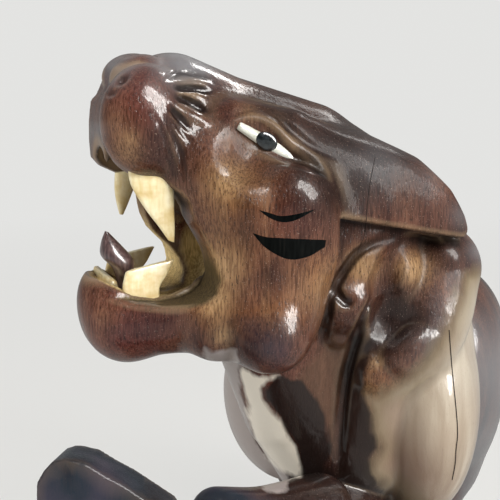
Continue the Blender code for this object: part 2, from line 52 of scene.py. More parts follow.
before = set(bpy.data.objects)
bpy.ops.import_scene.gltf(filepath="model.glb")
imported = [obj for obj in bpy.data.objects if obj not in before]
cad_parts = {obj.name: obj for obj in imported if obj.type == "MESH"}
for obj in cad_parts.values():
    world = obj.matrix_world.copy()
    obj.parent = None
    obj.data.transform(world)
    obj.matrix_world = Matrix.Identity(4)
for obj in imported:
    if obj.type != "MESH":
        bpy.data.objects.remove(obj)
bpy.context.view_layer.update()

MILLIMETRE = 0.001
PHOTO_PIXELS = 500.0         # the photograph's width and height
HEAD_CENTRE_PLACE = (-92.5, 2.0, 250.0)  # in the frame, from the middle of the plinth's underside
PLINTH_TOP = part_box("plinth")[1][2] / MILLIMETRE

# Where the photograph was taken from
PHOTO_HEADING = math.radians(10.0)       # the way it looks, from +X
PHOTO_DROP = math.radians(11.0)          # and down
PHOTO_DISTANCE = 400.0                   # to the head's centre
PHOTO_AIM = (-17.5, -7.0)                # its middle, right of and above the head's centre
PHOTO_FOCUS = 1142.9                     # pixels at one length away
MILLIMETRES_PER_PIXEL = 0.35             # at the head
SENSOR = 36.0

HEAD_TURN = math.radians(120.0)
HEAD_HEIGHT = HEAD_CENTRE_PLACE[2] - PLINTH_TOP


# Distances: each shape is a function of x, y, z with the low and high corner of
# its box, and is negative inside
def turn(pitch=0.0, yaw=0.0, roll=0.0):
    """Axes, as columns, turned about X, then Y, then Z, in degrees."""
    a, b, c = (math.radians(angle) for angle in (roll, pitch, yaw))
    about_x = np.array([[1, 0, 0], [0, math.cos(a), -math.sin(a)], [0, math.sin(a), math.cos(a)]])
    about_y = np.array([[math.cos(b), 0, math.sin(b)], [0, 1, 0], [-math.sin(b), 0, math.cos(b)]])
    about_z = np.array([[math.cos(c), -math.sin(c), 0], [math.sin(c), math.cos(c), 0], [0, 0, 1]])
    return about_z @ about_y @ about_x


def egg(centre, radii, axes=np.eye(3)):
    """An ellipsoid whose radii lie along the columns of axes."""
    centre = np.array(centre, float)
    radii = np.array(radii, float)
    reach = np.sqrt(((axes * radii) ** 2).sum(axis=1))

    def distance(x, y, z):
        x, y, z = x - centre[0], y - centre[1], z - centre[2]
        near = 0
        steep = 0
        for i in range(3):
            along = (axes[0, i] * x + axes[1, i] * y + axes[2, i] * z) / radii[i]
            near = near + along ** 2
            steep = steep + (along / radii[i]) ** 2
        near = np.sqrt(near)
        return near * (near - 1) / np.maximum(np.sqrt(steep), 1e-6)

    return distance, centre - reach, centre + reach


def limb(points, radii):
    """A chain of round cones through the points."""
    points = np.array(points, float)
    radii = np.array(radii, float)

    def distance(x, y, z):
        nearest = None
        for start, end, r0, r1 in zip(points[:-1], points[1:], radii[:-1], radii[1:]):
            way = (end - start) / max((end - start) @ (end - start), 1e-9)
            dx, dy, dz = x - start[0], y - start[1], z - start[2]
            t = np.clip(dx * way[0] + dy * way[1] + dz * way[2], 0, 1)
            off = (dx - t * (end[0] - start[0])) ** 2 + (dy - t * (end[1] - start[1])) ** 2
            off = np.sqrt(off + (dz - t * (end[2] - start[2])) ** 2) - (r0 + t * (r1 - r0))
            nearest = off if nearest is None else np.minimum(nearest, off)
        return nearest

    reach = radii.max()
    return distance, points.min(axis=0) - reach, points.max(axis=0) + reach


def smooth_way(points, steps):
    """Points of a smooth curve through the given ones."""
    knots = np.array(points, float)
    knots = np.vstack([2 * knots[0] - knots[1], knots, 2 * knots[-1] - knots[-2]])
    way = []
    for before, start, end, after in zip(knots[:-3], knots[1:-2], knots[2:-1], knots[3:]):
        for t in np.linspace(0, 1, steps, endpoint=False):
            bend = (2 * before - 5 * start + 4 * end - after) * t ** 2
            bend = bend + (3 * start - before - 3 * end + after) * t ** 3
            way.append(start + ((end - before) * t + bend) / 2)
    return np.array(way + [knots[-2]])


def bent_limb(points, radii, steps=7):
    """A limb that follows a smooth curve through the points."""
    way = smooth_way(np.column_stack([np.array(points, float), radii]), steps)
    return limb(way[:, :3], way[:, 3])


def block(centre, half):
    """A box."""
    centre = np.array(centre, float)
    half = np.array(half, float)

    def distance(x, y, z):
        outside = 0
        deepest = None
        for value, middle, reach in zip((x, y, z), centre, half):
            along = np.abs(value - middle) - reach
            outside = outside + np.maximum(along, 0) ** 2
            deepest = along if deepest is None else np.maximum(deepest, along)
        return np.sqrt(outside) + np.minimum(deepest, 0)

    return distance, centre - half, centre + half


def outline_distance(outline, x, z):
    """How far points are outside an outline, negative inside it."""
    nearest = None
    inside = None
    for start, end in zip(outline, np.roll(outline, -1, axis=0)):
        way = end - start
        dx, dz = x - start[0], z - start[1]
        t = np.clip((dx * way[0] + dz * way[1]) / max(way @ way, 1e-9), 0, 1)
        off = (dx - way[0] * t) ** 2 + (dz - way[1] * t) ** 2
        nearest = off if nearest is None else np.minimum(nearest, off)
        rise = way[1] if abs(way[1]) > 1e-9 else 1e-9
        crosses = ((start[1] > z) != (end[1] > z)) & (dx < way[0] * dz / rise)
        inside = crosses if inside is None else inside ^ crosses
    return np.where(inside, -np.sqrt(nearest), np.sqrt(nearest))


def slab(outline, low, high, rounding=0.0):
    """An outline in X and Z, from low to high in Y."""
    outline = np.array(outline, float)

    def distance(x, y, z):
        side = outline_distance(outline, x, z)
        return np.maximum(side, np.maximum(low - y, y - high)) - rounding

    least, most = outline.min(axis=0) - rounding, outline.max(axis=0) + rounding
    nearest = np.array([least[0], low - rounding, least[1]])
    farthest = np.array([most[0], high + rounding, most[1]])
    return distance, nearest, farthest


def common(one, other, blend):
    """What two shapes share."""
    def distance(x, y, z):
        a, b = one[0](x, y, z), other[0](x, y, z)
        return np.maximum(a, b) + np.maximum(blend - np.abs(a - b), 0) ** 2 / (4 * blend)

    return distance, np.maximum(one[1], other[1]), np.minimum(one[2], other[2])


# The head's own axes: forward, to its left, and up
HEAD_AXES = np.array([
    [math.cos(HEAD_TURN), -math.sin(HEAD_TURN), 0],
    [math.sin(HEAD_TURN), math.cos(HEAD_TURN), 0],
    [0, 0, 1],
])
HEAD_CENTRE = np.array([0.0, 0.0, HEAD_HEIGHT])
FIGURE_PLACE = np.array(HEAD_CENTRE_PLACE) - HEAD_CENTRE  # of the figure's origin, in the frame
CUBE_CORNERS = [(a, b, c) for a in (0, 1) for b in (0, 1) for c in (0, 1)]


def from_head(points):
    """Points of the head in the figure's millimetres."""
    return np.asarray(points, float) @ HEAD_AXES.T + HEAD_CENTRE


def to_head(points):
    """Points of the figure in the head's own axes."""
    return (np.asarray(points, float) - HEAD_CENTRE) @ HEAD_AXES


def box_corners(low, high):
    """The eight corners of a box."""
    return np.array([[(low, high)[far][axis] for axis, far in enumerate(corner)] for corner in CUBE_CORNERS])


def in_head(shape, mirrored=True):
    """A shape given in the head's axes, on both sides of the head or on one."""
    distance, low, high = shape
    low, high = np.array(low, float), np.array(high, float)
    if mirrored:
        low[1] = -high[1]
    corners = from_head(box_corners(low, high))

    def placed(x, y, z):
        forward = HEAD_AXES[0, 0] * x + HEAD_AXES[1, 0] * y
        left = HEAD_AXES[0, 1] * x + HEAD_AXES[1, 1] * y
        if mirrored:
            left = np.sqrt(left * left + 2.0)
        return distance(forward, left, z - HEAD_HEIGHT + 0 * forward)

    return placed, corners.min(axis=0), corners.max(axis=0)


OPEN_AIR = 30.0              # the field's value before any clay is there


class Clay:
    """A field of distances on a grid, worked by adding and cutting shapes."""

    def __init__(self, low, high, grid):
        self.grid = grid
        self.low = np.array(low, float)
        self.count = [int(math.ceil((b - a) / grid)) + 1 for a, b in zip(low, high)]
        self.field = np.full(self.count, OPEN_AIR, np.float32)

    def window(self, low, high):
        """The part of the grid inside a box, with its coordinates."""
        first = [max(0, int(math.floor((a - o) / self.grid))) for a, o in zip(low, self.low)]
        last = [
            min(n, int(math.ceil((b - o) / self.grid)) + 1) for b, o, n in zip(high, self.low, self.count)
        ]
        part = tuple(slice(a, max(a, b)) for a, b in zip(first, last))
        x, y, z = [
            (o + self.grid * np.arange(s.start, s.stop)).astype(np.float32) for o, s in zip(self.low, part)
        ]
        return part, x[:, None, None], y[None, :, None], z[None, None, :]

    def work(self, shape, blend, side):
        """Add a shape where side is 1 and cut it away where side is -1."""
        distance, low, high = shape
        margin = blend + 2 * self.grid + 2
        part, x, y, z = self.window(low - margin, high + margin)
        old = self.field[part]
        if old.size:
            new = side * distance(x, y, z).astype(np.float32)
            soft = np.maximum(blend - np.abs(old - new), 0) ** 2 / (4 * blend)
            self.field[part] = np.minimum(old, new) - soft if side > 0 else np.maximum(old, new) + soft

    def add(self, shape, blend=6.0):
        self.work(shape, blend, 1)

    def cut(self, shape, blend=2.0):
        self.work(shape, blend, -1)

    def at(self, points):
        """The field at points, read between the grid's own."""
        place = (np.asarray(points, float) - self.low) / self.grid
        corner = np.clip(np.floor(place).astype(int), 0, np.array(self.count) - 2)
        share = place - corner
        value = 0
        for beside in CUBE_CORNERS:
            weight = 1
            for axis, far in enumerate(beside):
                weight = weight * (share[..., axis] if far else 1 - share[..., axis])
            cell = corner + beside
            value = value + weight * self.field[cell[..., 0], cell[..., 1], cell[..., 2]]
        return value

    def outward(self, points, reach=1.2):
        """Unit vectors out of the clay."""
        slope = np.stack([
            self.at(points + step) - self.at(points - step) for step in np.eye(3) * reach * self.grid
        ], axis=-1)
        return slope / np.maximum(np.linalg.norm(slope, axis=-1, keepdims=True), 1e-9)

    def onto(self, points, times=3):
        """Points moved onto the skin."""
        for _ in range(times):
            points = points - self.outward(points) * np.clip(self.at(points), -1, 1)[..., None]
        return points

    def skin(self):
        """Vertices and four-sided faces where the field crosses zero."""
        inside = self.field < 0
        cells = [n - 1 for n in self.count]
        filled = np.zeros(cells, np.uint8)
        for a, b, c in CUBE_CORNERS:
            filled += inside[a:cells[0] + a, b:cells[1] + b, c:cells[2] + c]
        active = np.argwhere((filled > 0) & (filled < 8))
        number = np.full(cells, -1, np.int32)
        number[tuple(active.T)] = np.arange(len(active))
        value = {corner: self.field[tuple((active + corner).T)].astype(float) for corner in CUBE_CORNERS}
        total = np.zeros((len(active), 3))
        hits = np.zeros(len(active))
        for corner in CUBE_CORNERS:
            for axis in range(3):
                if corner[axis]:
                    continue
                other = tuple(1 if i == axis else corner[i] for i in range(3))
                here, there = value[corner], value[other]
                crossed = (here < 0) != (there < 0)
                point = np.tile(np.array(corner, float), (int(crossed.sum()), 1))
                point[:, axis] = here[crossed] / (here[crossed] - there[crossed])
                total[crossed] += point
                hits[crossed] += 1
        vertices = self.low + self.grid * (active + total / hits[:, None])
        faces = []
        for axis in range(3):
            u, w = (axis + 1) % 3, (axis + 2) % 3
            near = inside[tuple(slice(0, -1) if i == axis else slice(None) for i in range(3))]
            far = inside[tuple(slice(1, None) if i == axis else slice(None) for i in range(3))]
            edge = np.argwhere(near != far)
            edge = edge[(edge[:, u] > 0) & (edge[:, w] > 0)]
            leaves = near[tuple(edge.T)]
            step_u, step_w = np.eye(3, dtype=int)[u], np.eye(3, dtype=int)[w]
            ring = [edge - step_u - step_w, edge - step_w, edge, edge - step_u]
            quads = np.stack([number[tuple(cell.T)] for cell in ring], axis=1)
            quads[~leaves] = quads[~leaves][:, ::-1]
            faces.append(quads)
        return vertices, np.concatenate(faces)


# The photograph: where a pixel's ray meets the clay
def photo_axes():
    """The photograph's right, up and forward."""
    forward = np.array([
        math.cos(PHOTO_DROP) * math.cos(PHOTO_HEADING),
        math.cos(PHOTO_DROP) * math.sin(PHOTO_HEADING),
        -math.sin(PHOTO_DROP),
    ])
    right = np.array([math.sin(PHOTO_HEADING), -math.cos(PHOTO_HEADING), 0])
    return right, np.cross(right, forward), forward


RIGHT, UP, FORWARD = photo_axes()
PHOTO_EYE = HEAD_CENTRE + PHOTO_AIM[0] * RIGHT + PHOTO_AIM[1] * UP - PHOTO_DISTANCE * FORWARD


def to_photo(points):
    """Pixels at which points are seen."""
    away = np.asarray(points, float) - PHOTO_EYE
    depth = away @ FORWARD
    across = PHOTO_PIXELS / 2 + PHOTO_FOCUS * (away @ RIGHT) / depth
    down = PHOTO_PIXELS / 2 - PHOTO_FOCUS * (away @ UP) / depth
    return np.stack([across, down], axis=-1)


def from_photo(clay, pixels, start=250.0, end=520.0, step=1.0):
    """Where the pixels' rays first meet the clay; a ray that misses it is nan."""
    pixels = np.asarray(pixels, float)
    ray = (FORWARD + (pixels[:, :1] - PHOTO_PIXELS / 2) / PHOTO_FOCUS * RIGHT
           - (pixels[:, 1:] - PHOTO_PIXELS / 2) / PHOTO_FOCUS * UP)
    depths = np.arange(start, end, step)
    values = clay.at(PHOTO_EYE + ray[:, None, :] * depths[None, :, None])
    found = (values[:, :-1] >= 0) & (values[:, 1:] < 0)
    first = found.argmax(axis=1)
    rows = np.arange(len(pixels))
    before, after = values[rows, first], values[rows, first + 1]
    depth = depths[first] + step * before / np.where(found.any(axis=1), before - after, np.inf)
    points = PHOTO_EYE + ray * depth[:, None]
    points[~found.any(axis=1)] = np.nan
    return points


def lengths_along(points):
    """How far along a polyline each of its points is."""
    return np.concatenate([[0], np.cumsum(np.linalg.norm(np.diff(points, axis=0), axis=1))])


def evenly(points, count):
    """So many points, evenly spaced along a polyline."""
    lengths = lengths_along(points)
    marks = np.linspace(0, lengths[-1], count)
    return np.stack([np.interp(marks, lengths, column) for column in points.T], axis=1)


def spaced(points, gap):
    """A polyline's points, evenly spaced, about so far apart."""
    return evenly(points, max(3, int(lengths_along(points)[-1] / gap) + 1))


def mirror_in_head(points):
    """Points on the other side of the head."""
    return from_head(to_head(points) * (1, -1, 1))


def sides_of(clay, points, mirrored):
    """The points and, when mirrored, their places on the other side of the head."""
    return [points, clay.onto(mirror_in_head(points))] if mirrored else [points]


LONGEST_JUMP = 12.0          # millimetres; past a longer one a stroke has left its part of the skin


def stroke(clay, pixels, width, depth, blend=0.8, raised=False, mirrored=True):
    """A groove or a raised line that the photograph shows, tapered at its ends."""
    points = from_photo(clay, spaced(smooth_way(pixels, 6), 3.5))
    points = points[~np.isnan(points[:, 0])]
    if len(points) < 3:
        return
    gaps = np.linalg.norm(np.diff(points, axis=0), axis=1)
    widest = int(gaps.argmax())
    if gaps[widest] > LONGEST_JUMP:
        points = points[:widest + 1] if widest > len(gaps) / 2 else points[widest + 1:]
        if len(points) < 3:
            return
    radius = (width * width / 4 + depth * depth) / (2 * depth)
    for way in sides_of(clay, points, mirrored):
        out = clay.outward(way)
        taper = np.abs(np.linspace(-1, 1, len(way))) ** 3 * 0.85 * depth
        if raised:
            clay.add(limb(way - out * (radius - depth + taper)[:, None], [radius] * len(way)), blend)
        else:
            clay.cut(limb(way + out * (radius - depth + taper)[:, None], [radius] * len(way)), blend)


def swell(clay, pixel, radius, rise, blend=5.0, mirrored=True):
    """A round swelling where the photograph shows one; a negative rise is a dent."""
    points = from_photo(clay, [pixel])
    if np.isnan(points[0, 0]):
        return
    for way in sides_of(clay, points, mirrored):
        out = clay.outward(way)[0]
        if rise > 0:
            clay.add(egg(way[0] - out * (radius - rise), [radius] * 3), blend)
        else:
            clay.cut(egg(way[0] + out * (radius + rise), [radius] * 3), blend)


def at_photo(across, down, depth):
    """The point seen at a pixel, so far from the photograph's eye."""
    right = (across - PHOTO_PIXELS / 2) / PHOTO_FOCUS
    fall = (down - PHOTO_PIXELS / 2) / PHOTO_FOCUS
    return PHOTO_EYE + depth * (FORWARD + right * RIGHT - fall * UP)


def placed_at(shape, origin, axes):
    """A shape given in axes, the columns, round an origin."""
    distance, low, high = shape
    corners = box_corners(low, high) @ axes.T + origin

    def placed(x, y, z):
        x, y, z = x - origin[0], y - origin[1], z - origin[2]
        own = [axes[0, i] * x + axes[1, i] * y + axes[2, i] * z for i in range(3)]
        return distance(*own)

    return placed, corners.min(axis=0), corners.max(axis=0)


# The head, in its own axes
LIP_OUTLINE = [               # inside, then at the left and the right lip, which differ as carved
    (100, 24), (76, 22.6), (68, 22.6), (62, 22.6), (56, 20), (51, 17), (48, 12), (46.5, 5), (44, -2),
    (42.5, -8), (44.5, -13), (51, -16), (57, -16.5), (64, -15), (72, -11), (79, -8), (100, -5),
]
LEFT_LIP = [
    (100, 29), (76, 28), (69, 27.0), (63.5, 23.7), (59, 21.9), (53.5, 20.4), (50.2, 18.2), (48.2, 15.2),
    (47.6, 9), (45.2, 4.7), (42.6, 0.3), (41.2, -3.7), (40.2, -8.4), (41.8, -12.8), (45.0, -15.4),
    (48.8, -16.8), (55.5, -17.4), (63.7, -16.6), (70.1, -15.0), (74.8, -12.8), (77.9, -10.6), (100, -7),
]
RIGHT_LIP = [
    (100, 21), (76, 20.6), (59, 20.3), (55.9, 15.7), (53.1, 12.7), (52.4, 9.8), (51.4, 5.2), (49, 0.4),
    (45.4, -3.4), (43.2, -5.4), (39.9, -10.1), (38.9, -14), (41.1, -17.5), (46.7, -19), (54, -17.7),
    (61.2, -15), (65.5, -13.2), (68.3, -10.9), (78, -8), (100, -5),
]
EAR_OUTLINE = [
    (-2, 32), (-16, 29.8), (-28, 23.8), (-37.5, 14.5), (-42, 6.5), (-43, 3.5), (-40, 4), (-20, 9),
    (0, 14),
]
EAR_UNDERSIDE = [(3, 10.3), (-70, -5), (-70, -40), (3, -40)]
EYE_PLACE = (22.7, 29.6, 33.4)
EYE_PITCH, EYE_YAW = -32.0, -12.6
EYE_HALF = (11.8, 2.4)           # along the slit, and into the head
EYE_SLIT = [                  # share of the way forward along the slit, and half its height there
    (-1.0, 0.15), (-0.8, 1.0), (-0.52, 1.7), (-0.2, 2.05), (0.15, 2.0), (0.45, 1.8), (0.73, 1.55),
    (0.93, 1.35), (1.0, 1.0),
]
EYE_HOLLOW_PLACE = (21.6, 37.9, 32.9)
EYE_HOLLOW_HALF = (17.5, 6.6, 5.0)
PUPIL_HALF = (3.6, 2.75)
PUPIL_FORWARD = 1.8              # from the middle of the slit towards the nose
PUPIL_RISE = 0.4                 # and across it, upward
STRIP_OUTLINE = [             # between the whisker pads
    (65.0, 52.0), (65.3, 49.4), (67.4, 46.8), (68.7, 44.8), (69.4, 39.0), (69.5, 32.8), (69.2, 27.6),
    (67.2, 25.3), (62.0, 22.6), (52.0, 24.0), (52.0, 52.0),
]


def skull(clay):
    """Cranium, snout, brows, cheeks and jowls."""
    def form(shape, blend=8.0):
        clay.add(in_head(shape), blend)

    form(egg((-9, 0, 9), (35, 33, 26.5), turn(pitch=-25)))
    form(limb([(0, 0, 25), (30, 0, 36.6), (46.5, 0, 43.6)], [20, 18, 18]))
    form(limb([(31, 19, 39), (14, 23, 34), (-6, 26, 24)], [8, 10, 10]), 7)
    form(egg((36, 19, 22), (12, 15, 14)))
    form(egg((16, 27, 15), (17, 18, 17)), 7)
    form(limb([(50, 9, 36), (32, 17, 18)], [13, 17]))
    form(egg((20, 23, 0), (22, 22, 26)), 10)
    form(egg((23, 24, -20), (19.5, 21, 20.5)))
    form(egg((41, 20, -19), (11, 13, 12)), 6)
    form(limb([(4, 24, 4), (-14, 27, 9)], [16, 8]), 6)
    lip_fold = limb([(56, -17, 20), (51, -20.5, 8), (44, -22, -4)], [4, 5, 5])
    clay.add(in_head(lip_fold, False), 4)


def muzzle(clay):
    """Whisker pads, the strip between them, and the nose."""
    for side, forward in ((1, 58.5), (-1, 54.0)):
        clay.add(in_head(egg((forward, side * 13.0, 40.5), (14.5, 13.5, 18)), False), 4)
    clay.add(in_head(slab(STRIP_OUTLINE, -13, 7, 1.5), False), 1.2)
    clay.add(in_head(egg((57.4, 5.5, 53.4), (10.5, 8.5, 7.9))), 1.2)
    clay.cut(in_head(limb([(64.5, 7.5, 53.5), (60, 10, 54)], [1.5, 2.0])), 1.2)


def lower_jaw(clay):
    """The jaw from its corners to the chin, and its rim."""
    clay.add(in_head(limb([(28, 20, -22.6), (50, 14.5, -23.6), (64, 7, -24.8)], [13, 11.7, 12.6])), 6)
    clay.add(in_head(egg((62, 0, -27.3), (14.7, 14, 13.2))), 6)
    clay.add(in_head(egg((67, 0, -18.5), (12, 14, 13))), 4)


def ears(clay):
    """Ears laid back along the neck, undercut below."""
    leaf = common(slab(EAR_OUTLINE, 14, 34, 4.5), egg((-22, 12, 7), (43, 31, 29.5), turn(pitch=-25)), 6)
    clay.add(in_head(leaf), 5)
    clay.cut(in_head(slab(EAR_UNDERSIDE, 30, 60)), 1.0)


def mouth_cuts():
    """What opens the mouth, from side to side and down the throat, with the blend of each cut."""
    return (
        (in_head(slab(LIP_OUTLINE, -9, 80), False), 0.8),
        (in_head(slab(LEFT_LIP, 15, 80), False), 1.6),
        (in_head(slab(RIGHT_LIP, -80, -8), False), 0.8),
        (in_head(limb([(60, 0, 24), (40, 0, 15)], [12, 14])), 3.0),
        (in_head(limb([(66, 0, -9), (52, 0, -8), (36, 0, -5)], [8.5, 13.5, 14.5])), 3.0),
        (in_head(limb([(48, 0, 0), (31, 0, -2)], [15, 11])), 3.0),
    )


def mouth(clay):
    """The open mouth."""
    for shape, blend in mouth_cuts():
        clay.cut(shape, blend)


def eye_hollows(clay):
    """The sockets that the eyes lie in."""
    hollow = egg(EYE_HOLLOW_PLACE, EYE_HOLLOW_HALF, turn(pitch=EYE_PITCH, yaw=EYE_YAW))
    clay.cut(in_head(hollow), 1.5)


# The body
def below_head(x, y, drop):
    """A point of the neck, so far below the head's centre."""
    return x, y, HEAD_HEIGHT - drop


def neck_and_shoulders(clay):
    """Neck, throat, the folds beside them, and both shoulders."""
    clay.add(limb([below_head(6, -10, 0), below_head(18, -27, 40), (14, -19, 153)], [32, 34, 27]), 1.5)
    clay.add(limb([below_head(-5, 9, 22), (6, 0, 166), (10, -9, 142)], [25, 22, 18]), 5)
    # The lobe behind the jowl, then the fold from nape to breast
    lobe = [below_head(-6, -33, 9), below_head(-13, -19, 21), below_head(-16, -15, 31)]
    clay.add(bent_limb(lobe, [9, 9, 6]), 2)
    fold = [below_head(6, -47, 13), below_head(-3, -43, 33), (-5, -29, 180), (-3, -25, 163)]
    clay.add(bent_limb(fold, [16, 15, 12, 10]), 3)
    clay.add(bent_limb([below_head(20, -18, 18), (62, -15, 188), (110, -15, 168)], [26, 26, 22]), 10)
    # Left shoulder blade, then the right one
    clay.add(egg((20, -44, 164), (34, 20, 43), turn(yaw=10)), 3)
    clay.add(egg((35, 6, 161), (30, 28, 37), turn(yaw=10)), 3)


def trunk(clay):
    """Ribs, belly and rump."""
    clay.add(egg((95, -15, 143), (72, 37, 45)), 12)
    clay.add(egg((160, -15, 146), (70, 32, 35)), 12)
    clay.add(egg((222, -15, 147), (38, 36, 36)), 12)


TOES = 4
TOE_SPACING = 7.6
TOE_ARC = 0.22               # how much less forward an outer toe is, for each millimetre across


def paw(clay, middle, axes):
    """A paw: the first of its axes points back, the second across, the third up."""
    ahead, aside, up = -axes[:, 0], axes[:, 1], axes[:, 2]
    middle = np.array(middle, float)
    clay.add(egg(middle + up * 8, (17, 14.5, 12), axes), 6)
    for i in range(TOES):
        across = (i - (TOES - 1) / 2) * TOE_SPACING
        forward = 13 - abs(across) * TOE_ARC
        tip = middle + ahead * forward + aside * across + up * 6.5
        clay.add(limb([tip - ahead * 10 + up, tip], [6.6, 5.4]), 0.8)


def standing_legs(clay):
    """Left foreleg and both hind legs, each down to its paw."""
    level = turn()
    foreleg = [(27, -34, 150), (22, -36, 112), (30, -38, 62), (26, -38, 14)]
    clay.add(bent_limb(foreleg, [18, 15, 12, 12.5]), 8)
    paw(clay, (16, -38, 0), level)
    for x, y, side, thigh in ((0, -50, -1, -57), (-22, 16, 1, 12)):
        clay.add(egg((213, thigh, 120), (42, 27, 54 if side < 0 else 45)), 8)
        hind_leg = [
            (222, y, 140), (208 + x, y + side * 12, 96), (228 + x, y + side * 10, 58),
            (235 + x, y + side * 3, 36), (229 + x, y, 14),
        ]
        clay.add(bent_limb(hind_leg, [30, 17, 13, 11, 12.5]), 8)
        paw(clay, (220 + x, y, 0), level)


PALM_OUTLINE = [              # as the camera sees it
    (-17.6, 8.2), (-15.5, 11.8), (-13, 14.5), (-10.3, 15.2), (-5.8, 14.5), (-3.3, 13.9), (2.1, 10.6),
    (9.1, 7.0), (16.7, 2.1), (22.7, -1.8), (23.0, -7.6), (17.0, -12.0), (6.0, -15.0), (-7.6, -14.0),
    (-15.8, -9.0), (-17.6, 0.0),
]
PALM_SIZE = 0.87                 # millimetres for one of the outline's steps
PALM_PIXEL = (101, 502)          # its middle in the photograph
PALM_DEPTH = 346.0               # and how far that is from the camera
PALM_TILT = turn(yaw=-6, roll=4)
VIEW_AXES = np.stack([RIGHT, FORWARD, UP], axis=1)


def raised_leg(clay):
    """The right foreleg, lifted and stretched forward, its paw open."""
    upper_part = [(29, -15, 134), (-2, -14, 124), (-26, -4, 121), (-46, 8, 130)]
    clay.add(bent_limb(upper_part, [18, 19, 18.5, 15]), 2)
    clay.add(bent_limb([(-47, 10, 130), (-62, 24, 138), (-74, 40, 147)], [14, 13, 11.5]), 1.5)
    paw(clay, (-76, 54, 142), turn(yaw=-38, pitch=30))
    palm = slab(np.array(PALM_OUTLINE) * PALM_SIZE, -7, 7, 2.0)
    clay.add(placed_at(palm, at_photo(*PALM_PIXEL, PALM_DEPTH), VIEW_AXES @ PALM_TILT), 3)
    sinew = [at_photo(216, 512, 362), at_photo(262, 514, 372), at_photo(318, 508, 392)]
    clay.add(bent_limb(sinew, [8, 9, 12]), 1)


def tail(clay):
    """The tail, hanging down behind and curling along the plinth."""
    way = [(250, -15, 152), (271, -12, 128), (279, -5, 80), (277, 12, 32), (262, 34, 11), (236, 44, 8)]
    clay.add(bent_limb(way, [13, 10, 8.5, 8.5, 8.5, 7]), 6)


# The carver's lines, in pixels of the photograph: way, width and depth in millimetres
FACE_GROOVES = [
    ([(118, 83), (121.5, 79.5), (126, 77)], 3.6, 1.8),
    ([(103, 91), (109, 94), (116, 92)], 2.0, 0.8),
    ([(166, 80), (181, 72), (208, 77), (214, 82)], 2.4, 0.9),
    ([(174, 88), (192, 88.5), (210, 91)], 2.4, 1.5),
    ([(176, 97), (190, 101.5), (206, 111)], 2.2, 1.7),
    ([(170, 107), (179, 117), (190, 130)], 2.2, 1.5),
    ([(164, 115), (173, 133), (180, 152), (185, 181)], 1.8, 0.9),
    ([(169, 117), (180, 129), (190, 143)], 1.6, 0.8),
    ([(158, 120), (166, 140), (171, 160), (174, 182)], 1.6, 0.6),
    ([(240, 175), (240, 187), (237, 199)], 2.4, 0.7),
    ([(238, 112), (256, 108), (275, 115), (291, 129), (312, 146), (338, 158)], 3.2, 0.8),
]
FACE_RIDGES = [
    ([(106, 299), (122, 305), (142, 309), (165, 310), (187, 307), (201, 301)], 2.0, 0.6),
    ([(178, 83.5), (194, 83), (208, 85)], 3.6, 0.9),
    ([(180, 93.5), (192, 94), (206, 99)], 3.6, 1.0),
    ([(178, 109), (190, 114), (207, 124)], 3.8, 1.1),
    ([(234, 122), (244, 117.5), (257, 117.5), (271, 123.5), (282, 133), (295, 149), (310, 161)], 2.6, 0.9),
    ([(236, 139), (250, 146.5), (266, 156), (284, 166), (300, 174)], 1.8, 0.5),
    ([(228, 138), (230, 152), (231, 169)], 3.0, 0.5),
]
FACE_SWELLINGS = [            # middle, radius and rise
    ((277, 353), 12.0, 4.8), ((212, 346), 8.5, 3.6), ((306, 189), 9.0, 1.6), ((241, 200), 10.0, 2.2),
    ((250, 312), 12.0, -1.0), ((240, 158), 9.0, -1.2),
]
NECK_GROOVES = [
    ([(322, 340), (326, 322), (329, 300), (336, 284), (346, 268), (357, 254), (372, 245), (392, 239)],
     2.6, 1.8),
    ([(400, 246), (393, 268), (380, 292), (366, 316), (354, 345), (346, 375), (341, 415), (339, 470)],
     3.6, 2.2),
    ([(398, 262), (390, 286), (384, 310), (378, 332)], 9.0, 2.2),
    ([(336, 291), (341, 299), (347, 304), (351, 300)], 2.0, 1.8),
]
NECK_RIDGES = [
    ([(384, 252), (370, 262), (356, 278), (345, 296), (336, 318)], 12.0, 1.6),
]
NECK_SWELLINGS = [
    ((340, 302), 10.0, 4.0), ((404, 276), 10.0, 2.0), ((371, 372), 7.0, 3.4), ((450, 252), 5.0, 1.2),
    ((388, 320), 13.0, -3.0), ((417, 338), 6.0, 2.4), ((407, 349), 6.0, 2.6), ((396, 360), 6.0, 2.4),
]


def surface_lines(clay):
    """Wrinkles, lids and folds."""
    for way, width, depth in FACE_RIDGES:
        stroke(clay, way, width, depth, raised=True)
    for way, width, depth in FACE_GROOVES:
        stroke(clay, way, width, depth)
    for pixel, radius, rise in FACE_SWELLINGS:
        swell(clay, pixel, radius, rise)
    for pixel, radius, rise in NECK_SWELLINGS:
        swell(clay, pixel, radius, rise, 3.0, mirrored=False)
    for way, width, depth in NECK_RIDGES:
        stroke(clay, way, width, depth, blend=2.0, raised=True, mirrored=False)
    for way, width, depth in NECK_GROOVES:
        stroke(clay, way, width, depth, blend=1.6, mirrored=False)


FOOT_GAP = 0.3               # between the plinth and what stands on it, so that the two don't touch


def level_feet(clay):
    """Paws and tail end flat, just above the plinth."""
    clay.cut(block((95, 0, FOOT_GAP - 20), (250, 150, 20)), 0.01)


def sculpt(low, high, grid):
    """The whole figure in clay."""
    clay = Clay(low, high, grid)
    for work in (
        skull, muzzle, lower_jaw, ears, mouth, eye_hollows, neck_and_shoulders, trunk,
        standing_legs, raised_leg, tail, surface_lines, level_feet,
    ):
        work(clay)
    return clay


